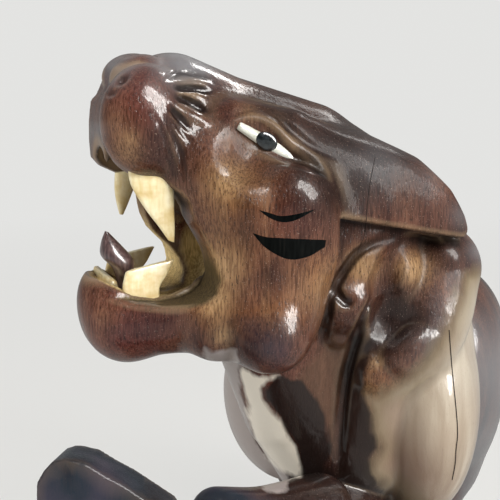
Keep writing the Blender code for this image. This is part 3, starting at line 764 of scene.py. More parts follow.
# Where the wood and the paint change colour, in pixels of the photograph
CHEEK_STRIPES = [             # each one's upper and lower edge
    ([(259, 210), (270, 213), (281, 216), (297, 214), (316, 209)],
     [(259, 210), (268, 217), (281, 222), (296, 220), (316, 209)]),
    ([(253, 233), (266, 237), (280, 238), (302, 239), (326, 240)],
     [(254, 235), (266, 248), (287, 259), (307, 257), (325, 247)]),
]
CRACKS = [                    # way, and width in millimetres
    ([(449, 330), (452, 369), (456, 409), (457.5, 433), (456, 449), (455, 464), (452, 480)], 0.34),
    ([(375, 157), (369, 190), (366, 221), (364, 236), (358, 250)], 0.2),
]
ZONES = {                     # outlines of the log's dark and pale parts
    "far_shoulder": [
        (205, 350), (212, 385), (217, 415), (226, 445), (243, 468), (265, 490), (290, 490), (290, 476),
        (270, 460), (256, 441), (248, 415), (244, 395), (240, 372), (236, 350),
    ],
    "breast_pale": [
        (240, 372), (244, 395), (248, 415), (256, 441), (270, 460), (290, 476), (300, 478), (302, 468),
        (296, 445), (286, 431), (280, 417), (263, 399), (262, 389), (278, 376),
    ],
    "breast_dark": [
        (278, 376), (262, 389), (263, 399), (280, 417), (286, 431), (296, 445), (302, 468), (304, 482),
        (321, 480), (330, 453), (329, 433), (323, 415), (314, 397), (298, 378),
    ],
    "breast_pink": [
        (298, 376), (314, 397), (323, 415), (329, 433), (333, 458), (340, 415), (345, 375), (350, 345),
        (330, 330), (318, 352),
    ],
    "shoulder_dark": [
        (353, 335), (345, 375), (340, 415), (340, 480), (383, 494), (370, 474), (371, 460), (379, 447),
        (373, 433), (371, 413), (363, 393), (363, 372), (372, 352), (378, 335),
    ],
    "shoulder_pale": [
        (363, 393), (377, 395), (393, 383), (412, 373), (432, 352), (447, 325), (458, 300), (466, 276),
        (520, 262), (520, 540), (420, 520), (383, 486), (370, 474), (371, 460), (379, 447), (373, 433),
        (371, 413),
    ],
}
ZONE_DEPTH = 120.0            # how far back from the head the zones reach
WRINKLE_VALLEY_SHADE = [             # painted shade over the receding, wrinkled valley behind the whisker pad
    (166, 82), (176, 76), (208, 78), (216, 100), (206, 130), (196, 160), (192, 186), (166, 186),
    (150, 168), (147, 150), (152, 122), (161, 100),
]
BLOTS = {                     # soft round patches: middle, radius in pixels, and strength
    # warm: warmer wood on the cheeks, and painted highlights on the neck's lobe and tan patch
    "warm": [
        ((240, 195), 36, 1.0), ((228, 262), 26, 1.0), ((214, 300), 22, 1.0), ((280, 292), 40, 0.8),
        ((225, 325), 26, 0.6), ((320, 275), 24, 0.6), ((130, 138), 14, 0.4), ((375, 385), 20, 0.7),
        ((418, 265), 16, 1.0), ((362, 266), 16, 0.8),
    ],
    # dark: darker wood, and painted shade in the neck's hollow and on the raised forearm
    "dark": [
        ((345, 140), 55, 1.0), ((400, 175), 40, 0.55), ((190, 66), 40, 0.4), ((275, 100), 36, 0.8),
        ((402, 318), 34, 1.1), ((372, 340), 22, 0.8), ((300, 362), 30, 0.1), ((345, 205), 26, 0.5),
        ((445, 250), 26, 0.6), ((300, 205), 18, 0.5), ((310, 500), 52, 1.3), ((370, 500), 40, 1.0),
        ((272, 276), 20, 0.8), ((150, 330), 22, 0.5), ((250, 352), 16, 0.2), ((338, 172), 26, 0.6),
    ],
    "rosy": [
        ((388, 450), 26, 0.8), ((385, 400), 16, 0.6), ((415, 480), 30, 0.6),
    ],
    # painted reflection: a grey haze of the pale room in the lacquer, and a painted highlight on the strip
    "painted_haze_reflection": [
        ((500, 370), 60, 1.0), ((480, 470), 46, 1.3), ((180, 58), 26, 1.0), ((112, 70), 16, 0.7),
        ((207, 62), 18, 0.6), ((380, 160), 24, 0.25), ((95, 132), 10, 0.5), ((480, 250), 12, 0.7),
        ((465, 215), 14, 0.4), ((440, 170), 18, 0.3),
    ],
    "dull": [
        ((400, 190), 62, 1.0), ((345, 165), 40, 1.0), ((300, 110), 40, 0.9), ((255, 108), 26, 0.9),
        ((240, 150), 18, 0.8), ((222, 150), 14, 0.6), ((446, 285), 26, 1.0), ((430, 210), 40, 1.0),
        ((235, 120), 14, 0.7), ((425, 245), 16, 0.6), ((257, 190), 12, 0.8), ((222, 162), 12, 0.7),
        ((300, 496), 24, 0.7), ((378, 246), 12, 0.8), ((413, 262), 16, 0.9), ((381, 329), 12, 0.9),
    ],
    # tan: paler tan wood on the cheeks and snout, and painted highlights on the jaw corner and the neck's
    # lobes
    "tan": [
        ((224, 268), 22, 0.9), ((214, 303), 16, 1.0), ((228, 182), 20, 0.7), ((222, 335), 10, 0.9),
        ((413, 270), 15, 1.0), ((362, 266), 15, 0.9), ((376, 362), 7, 0.8), ((118, 122), 16, 0.2),
        ((128, 152), 14, 0.35), ((108, 320), 14, 0.3), ((308, 290), 22, 0.3), ((130, 138), 8, 0.4),
        ((276, 121), 12, 0.35), ((250, 114), 10, 0.4), ((296, 142), 10, 0.35),
    ],
    # paler sapwood towards the shoulder's right edge, with a painted reflection there
    "pale_sapwood_and_sheen": [
        ((468, 372), 34, 0.5), ((472, 305), 30, 0.7),
    ],
    "ruddy": [
        ((115, 335), 40, 0.9), ((150, 345), 26, 0.6), ((135, 105), 36, 0.6), ((150, 70), 30, 0.5),
        ((205, 100), 24, 0.3), ((275, 360), 30, 0.6), ((290, 215), 26, 0.5), ((272, 280), 26, 0.7),
    ],
}


def zone(pixels, outline):
    """Pixels inside an outline are positive, in pixels from its edge."""
    return -outline_distance(np.array(outline, float), pixels[:, 0], pixels[:, 1])


DEEP_INSIDE = 60.0           # pixels or millimetres past a border, where nothing changes any more
HEAD_REACH = 60.0            # above and below the head's centre
PAW_SLATE_REACH = (-48.0, 210.0)   # the slate-blue reaches back to here, and up to here
MOUTH_SKIN = 0.5             # how deep into the wood the mouth's own colour reaches
MOUTH_FLOOR = 4.0            # below the head's centre, where the mouth's olive floor begins
THROAT_SIDE = 15.0           # left of the head's middle; inward of it the mouth is painted paler, painted light where the throat lies in shade
EDGE_REACH = 2.2             # how far off the skin it is felt whether there is a ridge or a groove


def colour_fields(clay, points):
    """What the wood's material needs to know at each point of the skin."""
    pixels = to_photo(points)
    out = clay.outward(points)
    # The zones end behind the shoulders, and at the head above this line of the photograph
    front = np.minimum(ZONE_DEPTH - points[:, 0], DEEP_INSIDE)
    below = np.where(points[:, 2] < HEAD_HEIGHT - 8, DEEP_INSIDE, pixels[:, 1] - 330)
    limit = np.minimum(front, below)
    fields = {name: np.minimum(zone(pixels, outline), limit) for name, outline in ZONES.items()}
    for name, blots in BLOTS.items():
        value = np.zeros(len(points))
        for middle, radius, strength in blots:
            value += strength * np.exp(-(np.linalg.norm(pixels - middle, axis=1) / radius) ** 2)
        fields[name] = np.clip(value, 0, 1)
    fields["wrinkle_valley_shade"] = zone(pixels, WRINKLE_VALLEY_SHADE)
    back, top = PAW_SLATE_REACH
    fields["slate"] = back - points[:, 0] + np.clip(top - points[:, 2], -DEEP_INSIDE, 0)
    opening = np.min([shape[0](*points.T) for shape, _ in mouth_cuts()], axis=0)
    at_head = np.abs(points[:, 2] - HEAD_HEIGHT) < HEAD_REACH
    fields["mouth"] = np.where(at_head, MOUTH_SKIN - opening, -5.0)
    fields["mouth_floor"] = HEAD_HEIGHT - MOUTH_FLOOR - points[:, 2]
    fields["throat"] = THROAT_SIDE - to_head(points)[:, 1]
    fields["ridge"] = clay.at(points - out * EDGE_REACH) + EDGE_REACH
    fields["groove"] = EDGE_REACH - clay.at(points + out * EDGE_REACH)
    return {name: values.astype(np.float32) for name, values in fields.items()}


# Meshes and objects
def to_metres(points):
    """Points of the figure, in the frame."""
    return (np.asarray(points, float) + FIGURE_PLACE) * MILLIMETRE


def piece(name, points, faces, finish, smooth=True):
    """An object at the origin, its place in its mesh."""
    mesh = bpy.data.meshes.new(name)
    mesh.from_pydata(to_metres(points).tolist(), [], [tuple(int(i) for i in face) for face in faces])
    work = bmesh.new()
    work.from_mesh(mesh)
    bmesh.ops.recalc_face_normals(work, faces=work.faces)
    work.to_mesh(mesh)
    work.free()
    if smooth:
        mesh.shade_smooth()
    mesh.materials.append(finish)
    thing = bpy.data.objects.new(name, mesh)
    bpy.context.scene.collection.objects.link(thing)
    return thing


def settled(thing):
    """Turn a piece with modifiers into a plain mesh."""
    depsgraph = bpy.context.evaluated_depsgraph_get()
    mesh = bpy.data.meshes.new_from_object(thing.evaluated_get(depsgraph))
    old = thing.data
    thing.modifiers.clear()
    thing.data = mesh
    bpy.data.meshes.remove(old)
    return thing


def hand_over(thing, nodes, slot):
    """Hang a finished piece on the root body, and hide the frame's parts that it replaces."""
    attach(thing, "root")
    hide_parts(*nodes)


def linear(code):
    """An sRGB hex colour as the linear one that Blender takes."""
    parts = [int(code[i:i + 2], 16) / 255 for i in (1, 3, 5)]
    return tuple(c / 12.92 if c <= 0.04045 else ((c + 0.055) / 1.055) ** 2.4 for c in parts) + (1.0,)


def add_node(tree, kind, inputs=None, **settings):
    """A node with its settings, and each input linked or set."""
    made = tree.nodes.new(kind)
    for name, value in settings.items():
        setattr(made, name, value)
    for socket, value in (inputs or {}).items():
        if isinstance(value, bpy.types.NodeSocket):
            tree.links.new(value, made.inputs[socket])
        else:
            made.inputs[socket].default_value = value
    return made


def new_material(name, **constants):
    """A material with its Principled shader, whose constant values are set on its own sockets."""
    made = bpy.data.materials.new(name)
    made.use_nodes = True
    tree = made.node_tree
    shader = tree.nodes["Principled BSDF"]
    for socket, value in constants.items():
        shader.inputs[socket.replace("_", " ")].default_value = value
    return made, tree, shader


def ramp(tree, factor, stops):
    """A colour ramp through (place, hex colour) stops."""
    made = add_node(tree, "ShaderNodeValToRGB", {"Fac": factor})
    points = made.color_ramp.elements
    while len(points) < len(stops):
        points.new(0.5)
    for point, (place, colour) in zip(points, stops):
        point.position = place
        point.color = linear(colour)
    return made.outputs["Color"]


def spread(tree, value, low, high, first=0.0, last=1.0):
    """A value from low to high, spread from first to last."""
    return add_node(tree, "ShaderNodeMapRange", {
        "Value": value, "From Min": low, "From Max": high, "To Min": first, "To Max": last,
    }).outputs["Result"]


def mix(tree, factor, under, over, blend="MIX"):
    """Two colours, the second over the first by a factor."""
    made = add_node(tree, "ShaderNodeMix", data_type="RGBA", blend_type=blend)
    for socket, value in ((made.inputs[0], factor), (made.inputs[6], under), (made.inputs[7], over)):
        if isinstance(value, bpy.types.NodeSocket):
            tree.links.new(value, socket)
        else:
            socket.default_value = linear(value) if isinstance(value, str) else value
    return made.outputs[2]


def attribute(tree, name):
    """One of the colour fields of the skin."""
    return add_node(tree, "ShaderNodeAttribute", attribute_name=name).outputs["Fac"]


def maths(tree, kind, one, other):
    return add_node(tree, "ShaderNodeMath", {0: one, 1: other}, operation=kind).outputs[0]


def times(tree, one, other):
    return maths(tree, "MULTIPLY", one, other)


def noise(tree, scale, detail, shift=0.0, distortion=0.0):
    """Noise in the piece's own place, its scale given along each axis."""
    place = add_node(tree, "ShaderNodeTexCoord").outputs["Object"]
    drawn = add_node(tree, "ShaderNodeMapping", {
        "Vector": place, "Location": (shift, shift, shift), "Scale": scale,
    }).outputs["Vector"]
    return add_node(tree, "ShaderNodeTexNoise", {
        "Vector": drawn, "Scale": 1.0, "Detail": detail, "Distortion": distortion,
    }).outputs["Fac"]


def grain(tree, across, along, detail=2.0, shift=0.0, distortion=0.0):
    """Noise drawn out along the log, which stands upright: its size across and along, in millimetres."""
    fine, coarse = 1 / (across * MILLIMETRE), 1 / (along * MILLIMETRE)
    return noise(tree, (fine, fine, coarse), detail, shift, distortion)


def add_bump(tree, shader, height, strength, depth, normals=("Normal",), **settings):
    """Relief on a shader, its depth in millimetres."""
    bump = add_node(tree, "ShaderNodeBump", {
        "Height": height, "Strength": strength, "Distance": depth * MILLIMETRE,
    }, **settings)
    for socket in normals:
        tree.links.new(bump.outputs["Normal"], shader.inputs[socket])


def toned(name, noise_size, stops, roughness, **constants):
    """A material whose tones and roughness follow one noise."""
    made, tree, shader = new_material(name, Metallic=0.0, **constants)
    tones = grain(tree, *noise_size)
    tree.links.new(ramp(tree, tones, stops), shader.inputs["Base Color"])
    tree.links.new(spread(tree, tones, *roughness), shader.inputs["Roughness"])
    return made


def lacquered_rosewood():
    """Rosewood under clear lacquer: red-brown heartwood with darker streaks and short
    pores, smooth cream sapwood where the log's outside is reached, and a brushed gloss."""
    made, tree, shader = new_material(
        "Lacquered rosewood",
        Metallic=0.0, IOR=1.5, Coat_Roughness=0.14, Coat_IOR=1.5, Specular_IOR_Level=0.06,
    )
    streaks = grain(tree, 9.0, 80.0, 4.0, 0.0, 0.5)
    fibres = grain(tree, 0.6, 5.0, 3.0, 11.0)
    pores = grain(tree, 0.40, 1.6, 1.0, 23.0)
    clouds = grain(tree, 22.0, 30.0, 2.0, 5.0)
    wood = ramp(tree, streaks, [(0.28, "#3a221a"), (0.43, "#513025"), (0.56, "#644031"), (0.72, "#7a5340")])
    fibre_shade = ramp(tree, fibres, [(0.30, "#a39792"), (0.60, "#ffffff")])
    warm_wood = ramp(tree, streaks, [(0.30, "#6b4427"), (0.50, "#8a5d38"), (0.72, "#a67d50")])
    cloud = spread(tree, clouds, 0.38, 0.66)
    # Warm: warmer wood on the cheeks, and painted highlights on the neck's lobe and tan patch
    warm = times(tree, attribute(tree, "warm"), spread(tree, clouds, 0.3, 0.6, 0.6, 1.0))
    colour = mix(tree, warm, wood, warm_wood)
    colour = mix(tree, times(tree, cloud, 0.4), colour, "#33201a")
    # Tan: paler wood on the cheeks and snout, and painted highlights on the jaw corner and the neck's lobes
    tan = times(tree, attribute(tree, "tan"), spread(tree, streaks, 0.3, 0.6, 0.6, 0.9))
    colour = mix(tree, tan, colour, "#b8966c")
    colour = mix(tree, times(tree, attribute(tree, "ruddy"), 0.55), colour, "#763f37")
    # Dark: darker wood, and painted shade in the neck's hollow and on the raised forearm
    colour = mix(tree, times(tree, attribute(tree, "dark"), 0.9), colour, "#241714")
    # The log's zones; their borders waver with the grain
    waver = spread(tree, grain(tree, 7.0, 20.0, 3.0, 31.0), 0.3, 0.7, -4.0, 4.0)

    def inside(name, soft):
        return spread(tree, maths(tree, "ADD", attribute(tree, name), waver), -soft, soft)

    # Painted shade over the wrinkled valley behind the whisker pad
    colour = mix(tree, times(tree, inside("wrinkle_valley_shade", 10.0), 0.6), colour, "#38221e")
    pore = spread(tree, pores, 0.63, 0.70)
    heart_pore = times(tree, pore, 0.7)
    colour = mix(tree, 1.0, colour, fibre_shade, "MULTIPLY")
    colour = mix(tree, heart_pore, colour, "#1f1412")
    speck = spread(tree, grain(tree, 0.34, 0.5, 1.0, 57.0), 0.69, 0.73)
    colour = mix(tree, times(tree, speck, 0.5), colour, "#a08a7a")
    sap_cream = ramp(tree, streaks, [(0.30, "#8d7c6b"), (0.48, "#a19280"), (0.70, "#b8ac9a")])
    sap_cream = mix(tree, times(tree, cloud, 0.4), sap_cream, "#8e7565")
    sap_cream = mix(tree, times(tree, attribute(tree, "rosy"), 0.85), sap_cream, "#6f5548")
    # Paler sapwood towards the shoulder's right edge, with a painted reflection there
    sap_cream = mix(tree, times(tree, attribute(tree, "pale_sapwood_and_sheen"), 0.7), sap_cream, "#cbc7ba")
    sap_cream = mix(tree, times(tree, pore, 0.12), sap_cream, "#6e5646")
    olive = mix(tree, spread(tree, attribute(tree, "shoulder_pale"), 0.0, 26.0), "#7d6e55", sap_cream)
    colour = mix(tree, inside("far_shoulder", 2.0), colour, "#9a918d")
    colour = mix(tree, inside("breast_pink", 5.0), colour, mix(tree, 0.6, colour, "#57402f"))
    colour = mix(tree, inside("breast_pale", 2.5), colour, mix(tree, 0.85, sap_cream, "#efe8d9"))
    colour = mix(tree, inside("breast_dark", 2.0), colour, mix(tree, 0.92, colour, "#1a1210"))
    colour = mix(tree, inside("shoulder_pale", 9.0), colour, olive)
    colour = mix(tree, inside("shoulder_dark", 2.5), colour, mix(tree, 0.92, colour, "#1b100c"))
    # Painted reflection: a grey haze where the pale room shines in the lacquer, kept off the pale shoulder
    beside_pale = spread(tree, attribute(tree, "shoulder_pale"), 4.0, -4.0)
    painted_haze_reflection = times(tree, attribute(tree, "painted_haze_reflection"), beside_pale)
    colour = mix(tree, times(tree, painted_haze_reflection, 0.66), colour, "#83868a")
    # The cut faces of the mouth, flat and olive, painted paler deep in the throat as painted light where it
    # lies in shade; and the paw's slate-blue colour
    painted_throat_light = spread(tree, attribute(tree, "throat"), -1.0, 4.0)
    mouth_dark = mix(tree, painted_throat_light, ramp(tree, fibres, [(0.35, "#221913"), (0.65, "#45362a")]), "#75604a")
    mouth_olive = ramp(tree, fibres, [(0.35, "#3a3020"), (0.65, "#5a4c33")])
    painted_light_straw = ramp(tree, fibres, [(0.35, "#a08a5c"), (0.65, "#e0c890")])
    mouth_olive = mix(tree, painted_throat_light, mouth_olive, painted_light_straw)
    mouth = mix(tree, spread(tree, attribute(tree, "mouth_floor"), -12.0, 0.0), mouth_dark, mouth_olive)
    in_mouth = spread(tree, attribute(tree, "mouth"), -0.2, 0.5)
    colour = mix(tree, in_mouth, colour, mouth)
    slate = ramp(tree, clouds, [(0.35, "#0e1a23"), (0.5, "#1f2c37"), (0.68, "#3c3b49")])
    in_slate = spread(tree, attribute(tree, "slate"), 0.0, 10.0)
    colour = mix(tree, times(tree, in_slate, 0.9), colour, slate)
    # Paler along edges, partly wear and partly a painted highlight; darker in grooves, painted shade with
    # gathered dust
    wear_and_edge_sheen = times(tree, spread(tree, attribute(tree, "ridge"), 0.30, 1.2),
                 spread(tree, in_slate, 0.0, 1.0, 1.0, 0.3))
    colour = mix(tree, times(tree, wear_and_edge_sheen, 0.5), colour, "#9c8468")
    groove_dust_and_shade = spread(tree, attribute(tree, "groove"), 0.20, 1.2)
    colour = mix(tree, times(tree, groove_dust_and_shade, 0.8), colour, "#150e0c")
    tree.links.new(colour, shader.inputs["Base Color"])
    rough = spread(tree, fibres, 0.3, 0.7, 0.32, 0.48)
    rough = maths(tree, "ADD", rough, times(tree, attribute(tree, "dull"), 0.15))
    rough = maths(tree, "ADD", rough, times(tree, in_mouth, 0.3))
    tree.links.new(rough, shader.inputs["Roughness"])
    # Lacquer is worn off in places, and none was laid in the mouth
    coat = spread(tree, attribute(tree, "dull"), 0.0, 0.9, 0.8, 0.08)
    coat = times(tree, coat, spread(tree, in_mouth, 0.0, 1.0, 1.0, 0.05))
    coat = times(tree, coat, spread(tree, in_slate, 0.0, 1.0, 1.0, 0.5))
    tree.links.new(coat, shader.inputs["Coat Weight"])
    facets = grain(tree, 9.0, 16.0, 1.0, 41.0)
    skin = grain(tree, 0.9, 2.6, 2.0, 63.0)
    height = maths(tree, "ADD", times(tree, facets, 1.6), times(tree, skin, 0.30))
    height = maths(tree, "SUBTRACT", height, times(tree, pore, 0.15))
    add_bump(tree, shader, height, 0.4, 0.6, ("Normal", "Coat Normal"))
    return made


def stripe_paint():
    """Dark green-black paint, brushed on under the lacquer, so the grain just shows through."""
    return toned(
        "Stripe paint under lacquer", (0.8, 9.0, 3.0, 3.0),
        [(0.35, "#010202"), (0.60, "#050807"), (0.78, "#130e0b")], (0.3, 0.7, 0.3, 0.45),
        Coat_Weight=0.0, Specular_IOR_Level=0.06,
    )


def crack_shadow():
    """Painted shade: a dark sheet standing for the open inside of a drying crack."""
    return toned(
        "Painted crack shade", (0.5, 3.0), [(0.3, "#0b0706"), (0.7, "#20140f")], (0.0, 1.0, 0.8, 0.95),
        Specular_IOR_Level=0.1,
    )


def tongue_wood():
    """Stained wood under lacquer, mauve-grey."""
    return toned(
        "Stained tongue wood", (0.8, 6.0, 3.0, 17.0),
        [(0.3, "#2e2024"), (0.5, "#54403f"), (0.72, "#6f5957")], (0.3, 0.7, 0.28, 0.4),
        Coat_Weight=1.0, Coat_Roughness=0.1,
    )


def eye_shell():
    """Shell or bone for the eyes' whites: pale grey-green, faintly clouded, polished."""
    return toned(
        "Polished eye shell", (2.5, 2.5, 3.0, 9.0),
        [(0.3, "#b9bcaa"), (0.5, "#d9dccf"), (0.7, "#e8eae0")], (0.3, 0.7, 0.25, 0.35),
        Coat_Weight=0.6, Coat_Roughness=0.08,
    )


def black_bead():
    """Polished black bead, with a trace of blue-grey in its glaze."""
    return toned(
        "Polished black bead", (1.2, 1.2, 2.0, 1.0), [(0.35, "#0c0f11"), (0.65, "#252b2e")],
        (0.3, 0.7, 0.12, 0.2),
        IOR=1.52, Coat_Weight=1.0, Coat_Roughness=0.03,
    )


def carved_bone():
    """Bone, sawn and scraped: cream, with faint growth lines, yellowed in patches."""
    made, tree, shader = new_material(
        "Carved bone", Metallic=0.0, IOR=1.54, Coat_Weight=0.35, Coat_Roughness=0.15,
    )
    lines = grain(tree, 1.4, 7.0, 3.0, 7.0)
    stain = grain(tree, 7.0, 5.0, 3.0, 2.0)
    colour = ramp(tree, lines, [(0.28, "#dccb98"), (0.5, "#e8dab0"), (0.7, "#efe5c4")])
    colour = mix(tree, spread(tree, stain, 0.44, 0.70, 0.0, 0.8), colour, "#c8a862")
    tree.links.new(colour, shader.inputs["Base Color"])
    tree.links.new(spread(tree, lines, 0.3, 0.7, 0.30, 0.42), shader.inputs["Roughness"])
    add_bump(tree, shader, lines, 0.25, 0.3)
    return made


def plinth_wood():
    """Darker wood for the plinth, its grain lengthways under satin lacquer."""
    made, tree, shader = new_material(
        "Satin plinth wood", Metallic=0.0, Coat_Weight=0.7, Coat_Roughness=0.18,
    )
    lines = noise(tree, (25.0, 320.0, 320.0), 4.0)
    pores = noise(tree, (300.0, 2600.0, 2600.0), 1.0)
    colour = ramp(tree, lines, [(0.30, "#241512"), (0.48, "#3d251d"), (0.66, "#5a3a2b")])
    pore = spread(tree, pores, 0.62, 0.70)
    colour = mix(tree, times(tree, pore, 0.6), colour, "#150c0a")
    tree.links.new(colour, shader.inputs["Base Color"])
    tree.links.new(spread(tree, lines, 0.3, 0.7, 0.34, 0.48), shader.inputs["Roughness"])
    add_bump(tree, shader, pore, 0.2, 0.2, invert=True)
    return made


# The figure
ROOM = 13.0                  # of clay round the frame's box, since the haunch reaches 4.4 mm past it
CARE_PLACE = (25, 0, 5)      # the middle of the head, in its own axes, round which the skin stays finest
CARE_RADIUS = 62.0
THINNING_CONTRAST = 2.5e-5   # small, since Decimate weighs its factor very heavily


def carve_figure(grid, most_triangles):
    """The tiger's skin as one mesh, with the wood's colour fields on it."""
    low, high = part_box("tiger")
    low = np.array(low) / MILLIMETRE - FIGURE_PLACE - ROOM
    high = np.array(high) / MILLIMETRE - FIGURE_PLACE + ROOM
    clay = sculpt(low, high, grid)
    points, faces = clay.skin()
    figure = piece("tiger_carving", points, faces, lacquered_rosewood())
    if 2 * len(faces) > most_triangles:
        care = figure.vertex_groups.new(name="Body")
        away = np.linalg.norm(points - from_head(CARE_PLACE), axis=1) / CARE_RADIUS
        # In ten steps from 0.1 round the head to 1 on the body
        weight = np.clip(away - 1, 0, 0.9) + 0.1
        for level in np.linspace(0.1, 1, 10):
            chosen = np.nonzero(np.abs(weight - level) <= 0.05)[0]
            care.add(chosen.tolist(), float(level), "REPLACE")
        thin = figure.modifiers.new("Thin", "DECIMATE")
        thin.ratio = most_triangles / (2 * len(faces))
        thin.vertex_group = "Body"
        thin.vertex_group_factor = THINNING_CONTRAST
        settled(figure)
        figure.vertex_groups.clear()
    mesh = figure.data
    count = len(mesh.vertices)
    places = np.zeros(count * 3)
    mesh.vertices.foreach_get("co", places)
    places = clay.onto(places.reshape(-1, 3) / MILLIMETRE - FIGURE_PLACE, 2)
    places[:, 2] = np.maximum(places[:, 2], FOOT_GAP)
    mesh.vertices.foreach_set("co", to_metres(places).ravel())
    for name, values in colour_fields(clay, places).items():
        mesh.attributes.new(name, "FLOAT", "POINT").data.foreach_set("value", values)
    mesh.update()
    flat = places[:, 2] < 2 * FOOT_GAP
    normals = clay.outward(places)
    normals[flat] = (0, 0, -1)
    mesh.shade_smooth()
    mesh.normals_split_custom_set_from_vertices(normals.tolist())
    return figure, clay


PAINT_LIFT = 0.06            # how far a painted layer lies off the skin
LAYER_GAP = 2.5              # pixels from point to point along it


def paint_layer(clay, upper, lower, mirrored=True, rows=5):
    """Points and faces of a thin layer between two lines of the photograph."""
    top = spaced(smooth_way(upper, 6), LAYER_GAP)
    count = len(top)
    bottom = evenly(smooth_way(lower, 6), count)
    shares = np.linspace(0, 1, rows)[None, :, None]
    pixels = (top[:, None, :] * (1 - shares) + bottom[:, None, :] * shares).reshape(-1, 2)
    points = from_photo(clay, pixels)
    faces = []
    for i in range(count - 1):
        for j in range(rows - 1):
            a = i * rows + j
            face = (a, a + 1, a + rows + 1, a + rows)
            if not np.isnan(points[list(face)]).any():
                faces.append(face)
    points = np.nan_to_num(clay.onto(np.nan_to_num(points)))
    layers = []
    for way in sides_of(clay, points, mirrored):
        layers.append((way + clay.outward(way) * PAINT_LIFT, faces))
        faces = [face[::-1] for face in faces]
    return layers


def joined(layers):
    """Several runs of points and faces as one."""
    points, faces = [], []
    for some, sides in layers:
        used = sorted({i for face in sides for i in face})
        number = {old: len(points) + new for new, old in enumerate(used)}
        faces += [tuple(number[i] for i in face) for face in sides]
        points += [some[i] for i in used]
    return np.array(points), faces


# Inlays, in the head's axes: rings of centre, half one way, half the other
def ring_run(rings, power=1.0, sides=24, steps=4, round_ends=True):
    """Points and faces of a smooth run of rings, closed at both ends; a low power squares them."""
    rings = smooth_way(np.array(rings, float).reshape(len(rings), 9), steps).reshape(-1, 3, 3)
    if round_ends:
        ends = []
        for end, beside in ((0, 1), (-1, -2)):
            out = rings[end][0] - rings[beside][0]
            out = out / np.linalg.norm(out)
            thick = min(np.linalg.norm(rings[end][1]), np.linalg.norm(rings[end][2])) * 0.4
            caps = []
            for angle in (30, 55, 75):
                shrink = 1 - (1 - math.cos(math.radians(angle))) * 0.5
                caps.append([rings[end][0] + out * thick * math.sin(math.radians(angle)),
                             rings[end][1] * shrink, rings[end][2] * shrink])
            ends.append(np.array(caps))
        rings = np.concatenate([ends[0][::-1], rings, ends[1]])
    points = []
    for centre, wide, deep in rings:
        for k in range(sides):
            angle = 2 * math.pi * (k + 0.5) / sides
            across = math.copysign(abs(math.cos(angle)) ** power, math.cos(angle))
            through = math.copysign(abs(math.sin(angle)) ** power, math.sin(angle))
            points.append(from_head(centre + wide * across + deep * through))
    faces = []
    for start in range(0, (len(rings) - 1) * sides, sides):
        for k in range(sides):
            after = (k + 1) % sides
            faces.append((start + k, start + after, start + sides + after, start + sides + k))
    top = (len(rings) - 1) * sides
    faces.append(tuple(range(sides)))
    faces.append(tuple(range(top, top + sides)))
    return np.array(points), faces


def upper_left_fang():
    """A broad flat blade, its rear edge upright."""
    return ring_run([
        ((58.2, 16.3, 27.0), (7.0, -1.5, 1.7), (0.4, 1.7, 0)),
        ((57.6, 16.8, 19.4), (6.7, -1.5, 1.7), (0.4, 1.7, 0)),
        ((55.6, 17.2, 12.8), (4.7, -0.9, 0.8), (0.2, 1.5, 0)),
        ((53.4, 17.6, 7.0), (2.6, -0.4, 0.5), (0.1, 1.2, 0)),
        ((52.0, 17.8, 2.6), (1.0, -0.1, 0.4), (0, 0.6, 0)),
    ], power=0.6)


def upper_right_fang():
    """A narrow tusk, curved a little forward."""
    return ring_run([
        ((57.6, -16.0, 27.0), (3.6, 0, 0.6), (0, 2.6, 0)),
        ((57.8, -16.0, 20.5), (4.0, 0, 0.9), (0, 2.7, 0)),
        ((59.0, -16.0, 14.6), (3.1, 0, 0.6), (0, 2.2, 0)),
        ((59.6, -16.0, 10.0), (1.9, 0, 0.3), (0, 1.5, 0)),
        ((59.9, -16.0, 6.6), (0.7, 0, 0.1), (0, 0.6, 0)),
    ])


def lower_fang(side):
    """A wedge of a plate, its point swept back."""
    return ring_run([
        ((60.8, side * 12.6, -21.0), (6.2, 0, 0), (0, 1.7, 0)),
        ((60.8, side * 12.6, -13.6), (6.1, 0, 0), (0, 1.7, 0)),
        ((59.2, side * 12.4, -9.8), (7.1, 0, -0.2), (0, 1.5, 0)),
        ((57.6, side * 12.2, -6.4), (8.1, 0, -1.5), (0, 1.2, 0)),
    ], power=0.5)


def front_tooth():
    """A bar across the jaw, behind its rim."""
    return ring_run([
        ((70.6, -9.2, -14.0), (0, 0, 4.4), (1.2, 0.3, 0)),
        ((69.4, -2.6, -14.9), (0, 0, 4.3), (1.2, 0.3, 0)),
        ((67.6, 3.9, -16.2), (0, 0, 4.0), (1.2, 0.3, 0)),
    ], power=0.5)


def tongue_leaf():
    """A leaf on a stem, its tip turned up."""
    return ring_run([
        ((63.6, 0.5, -23.0), (0, 2.4, 0), (2.0, 0, 0)),
        ((63.8, 0.5, -13.5), (0, 2.6, 0), (2.2, 0, 0)),
        ((64.0, 0.5, -9.4), (0, 5.6, 0), (3.4, 0, 0.8)),
        ((65.6, 0.5, -5.2), (0, 6.9, 0), (5.4, 0, 0.9)),
        ((67.2, 0.5, -0.8), (0, 4.6, 0), (3.6, 0, 0.9)),
        ((68.8, 0.5, 3.4), (0, 0.9, 0), (0.8, 0, 0.3)),
    ], sides=32)


def eye_axes(side):
    """The slit's way forward, the way out of the head, and across the slit."""
    along, out, across = turn(pitch=EYE_PITCH, yaw=EYE_YAW).T
    mirror = np.array([1, side, 1])
    return np.array(EYE_PLACE) * mirror, along * mirror, out * mirror, across * mirror


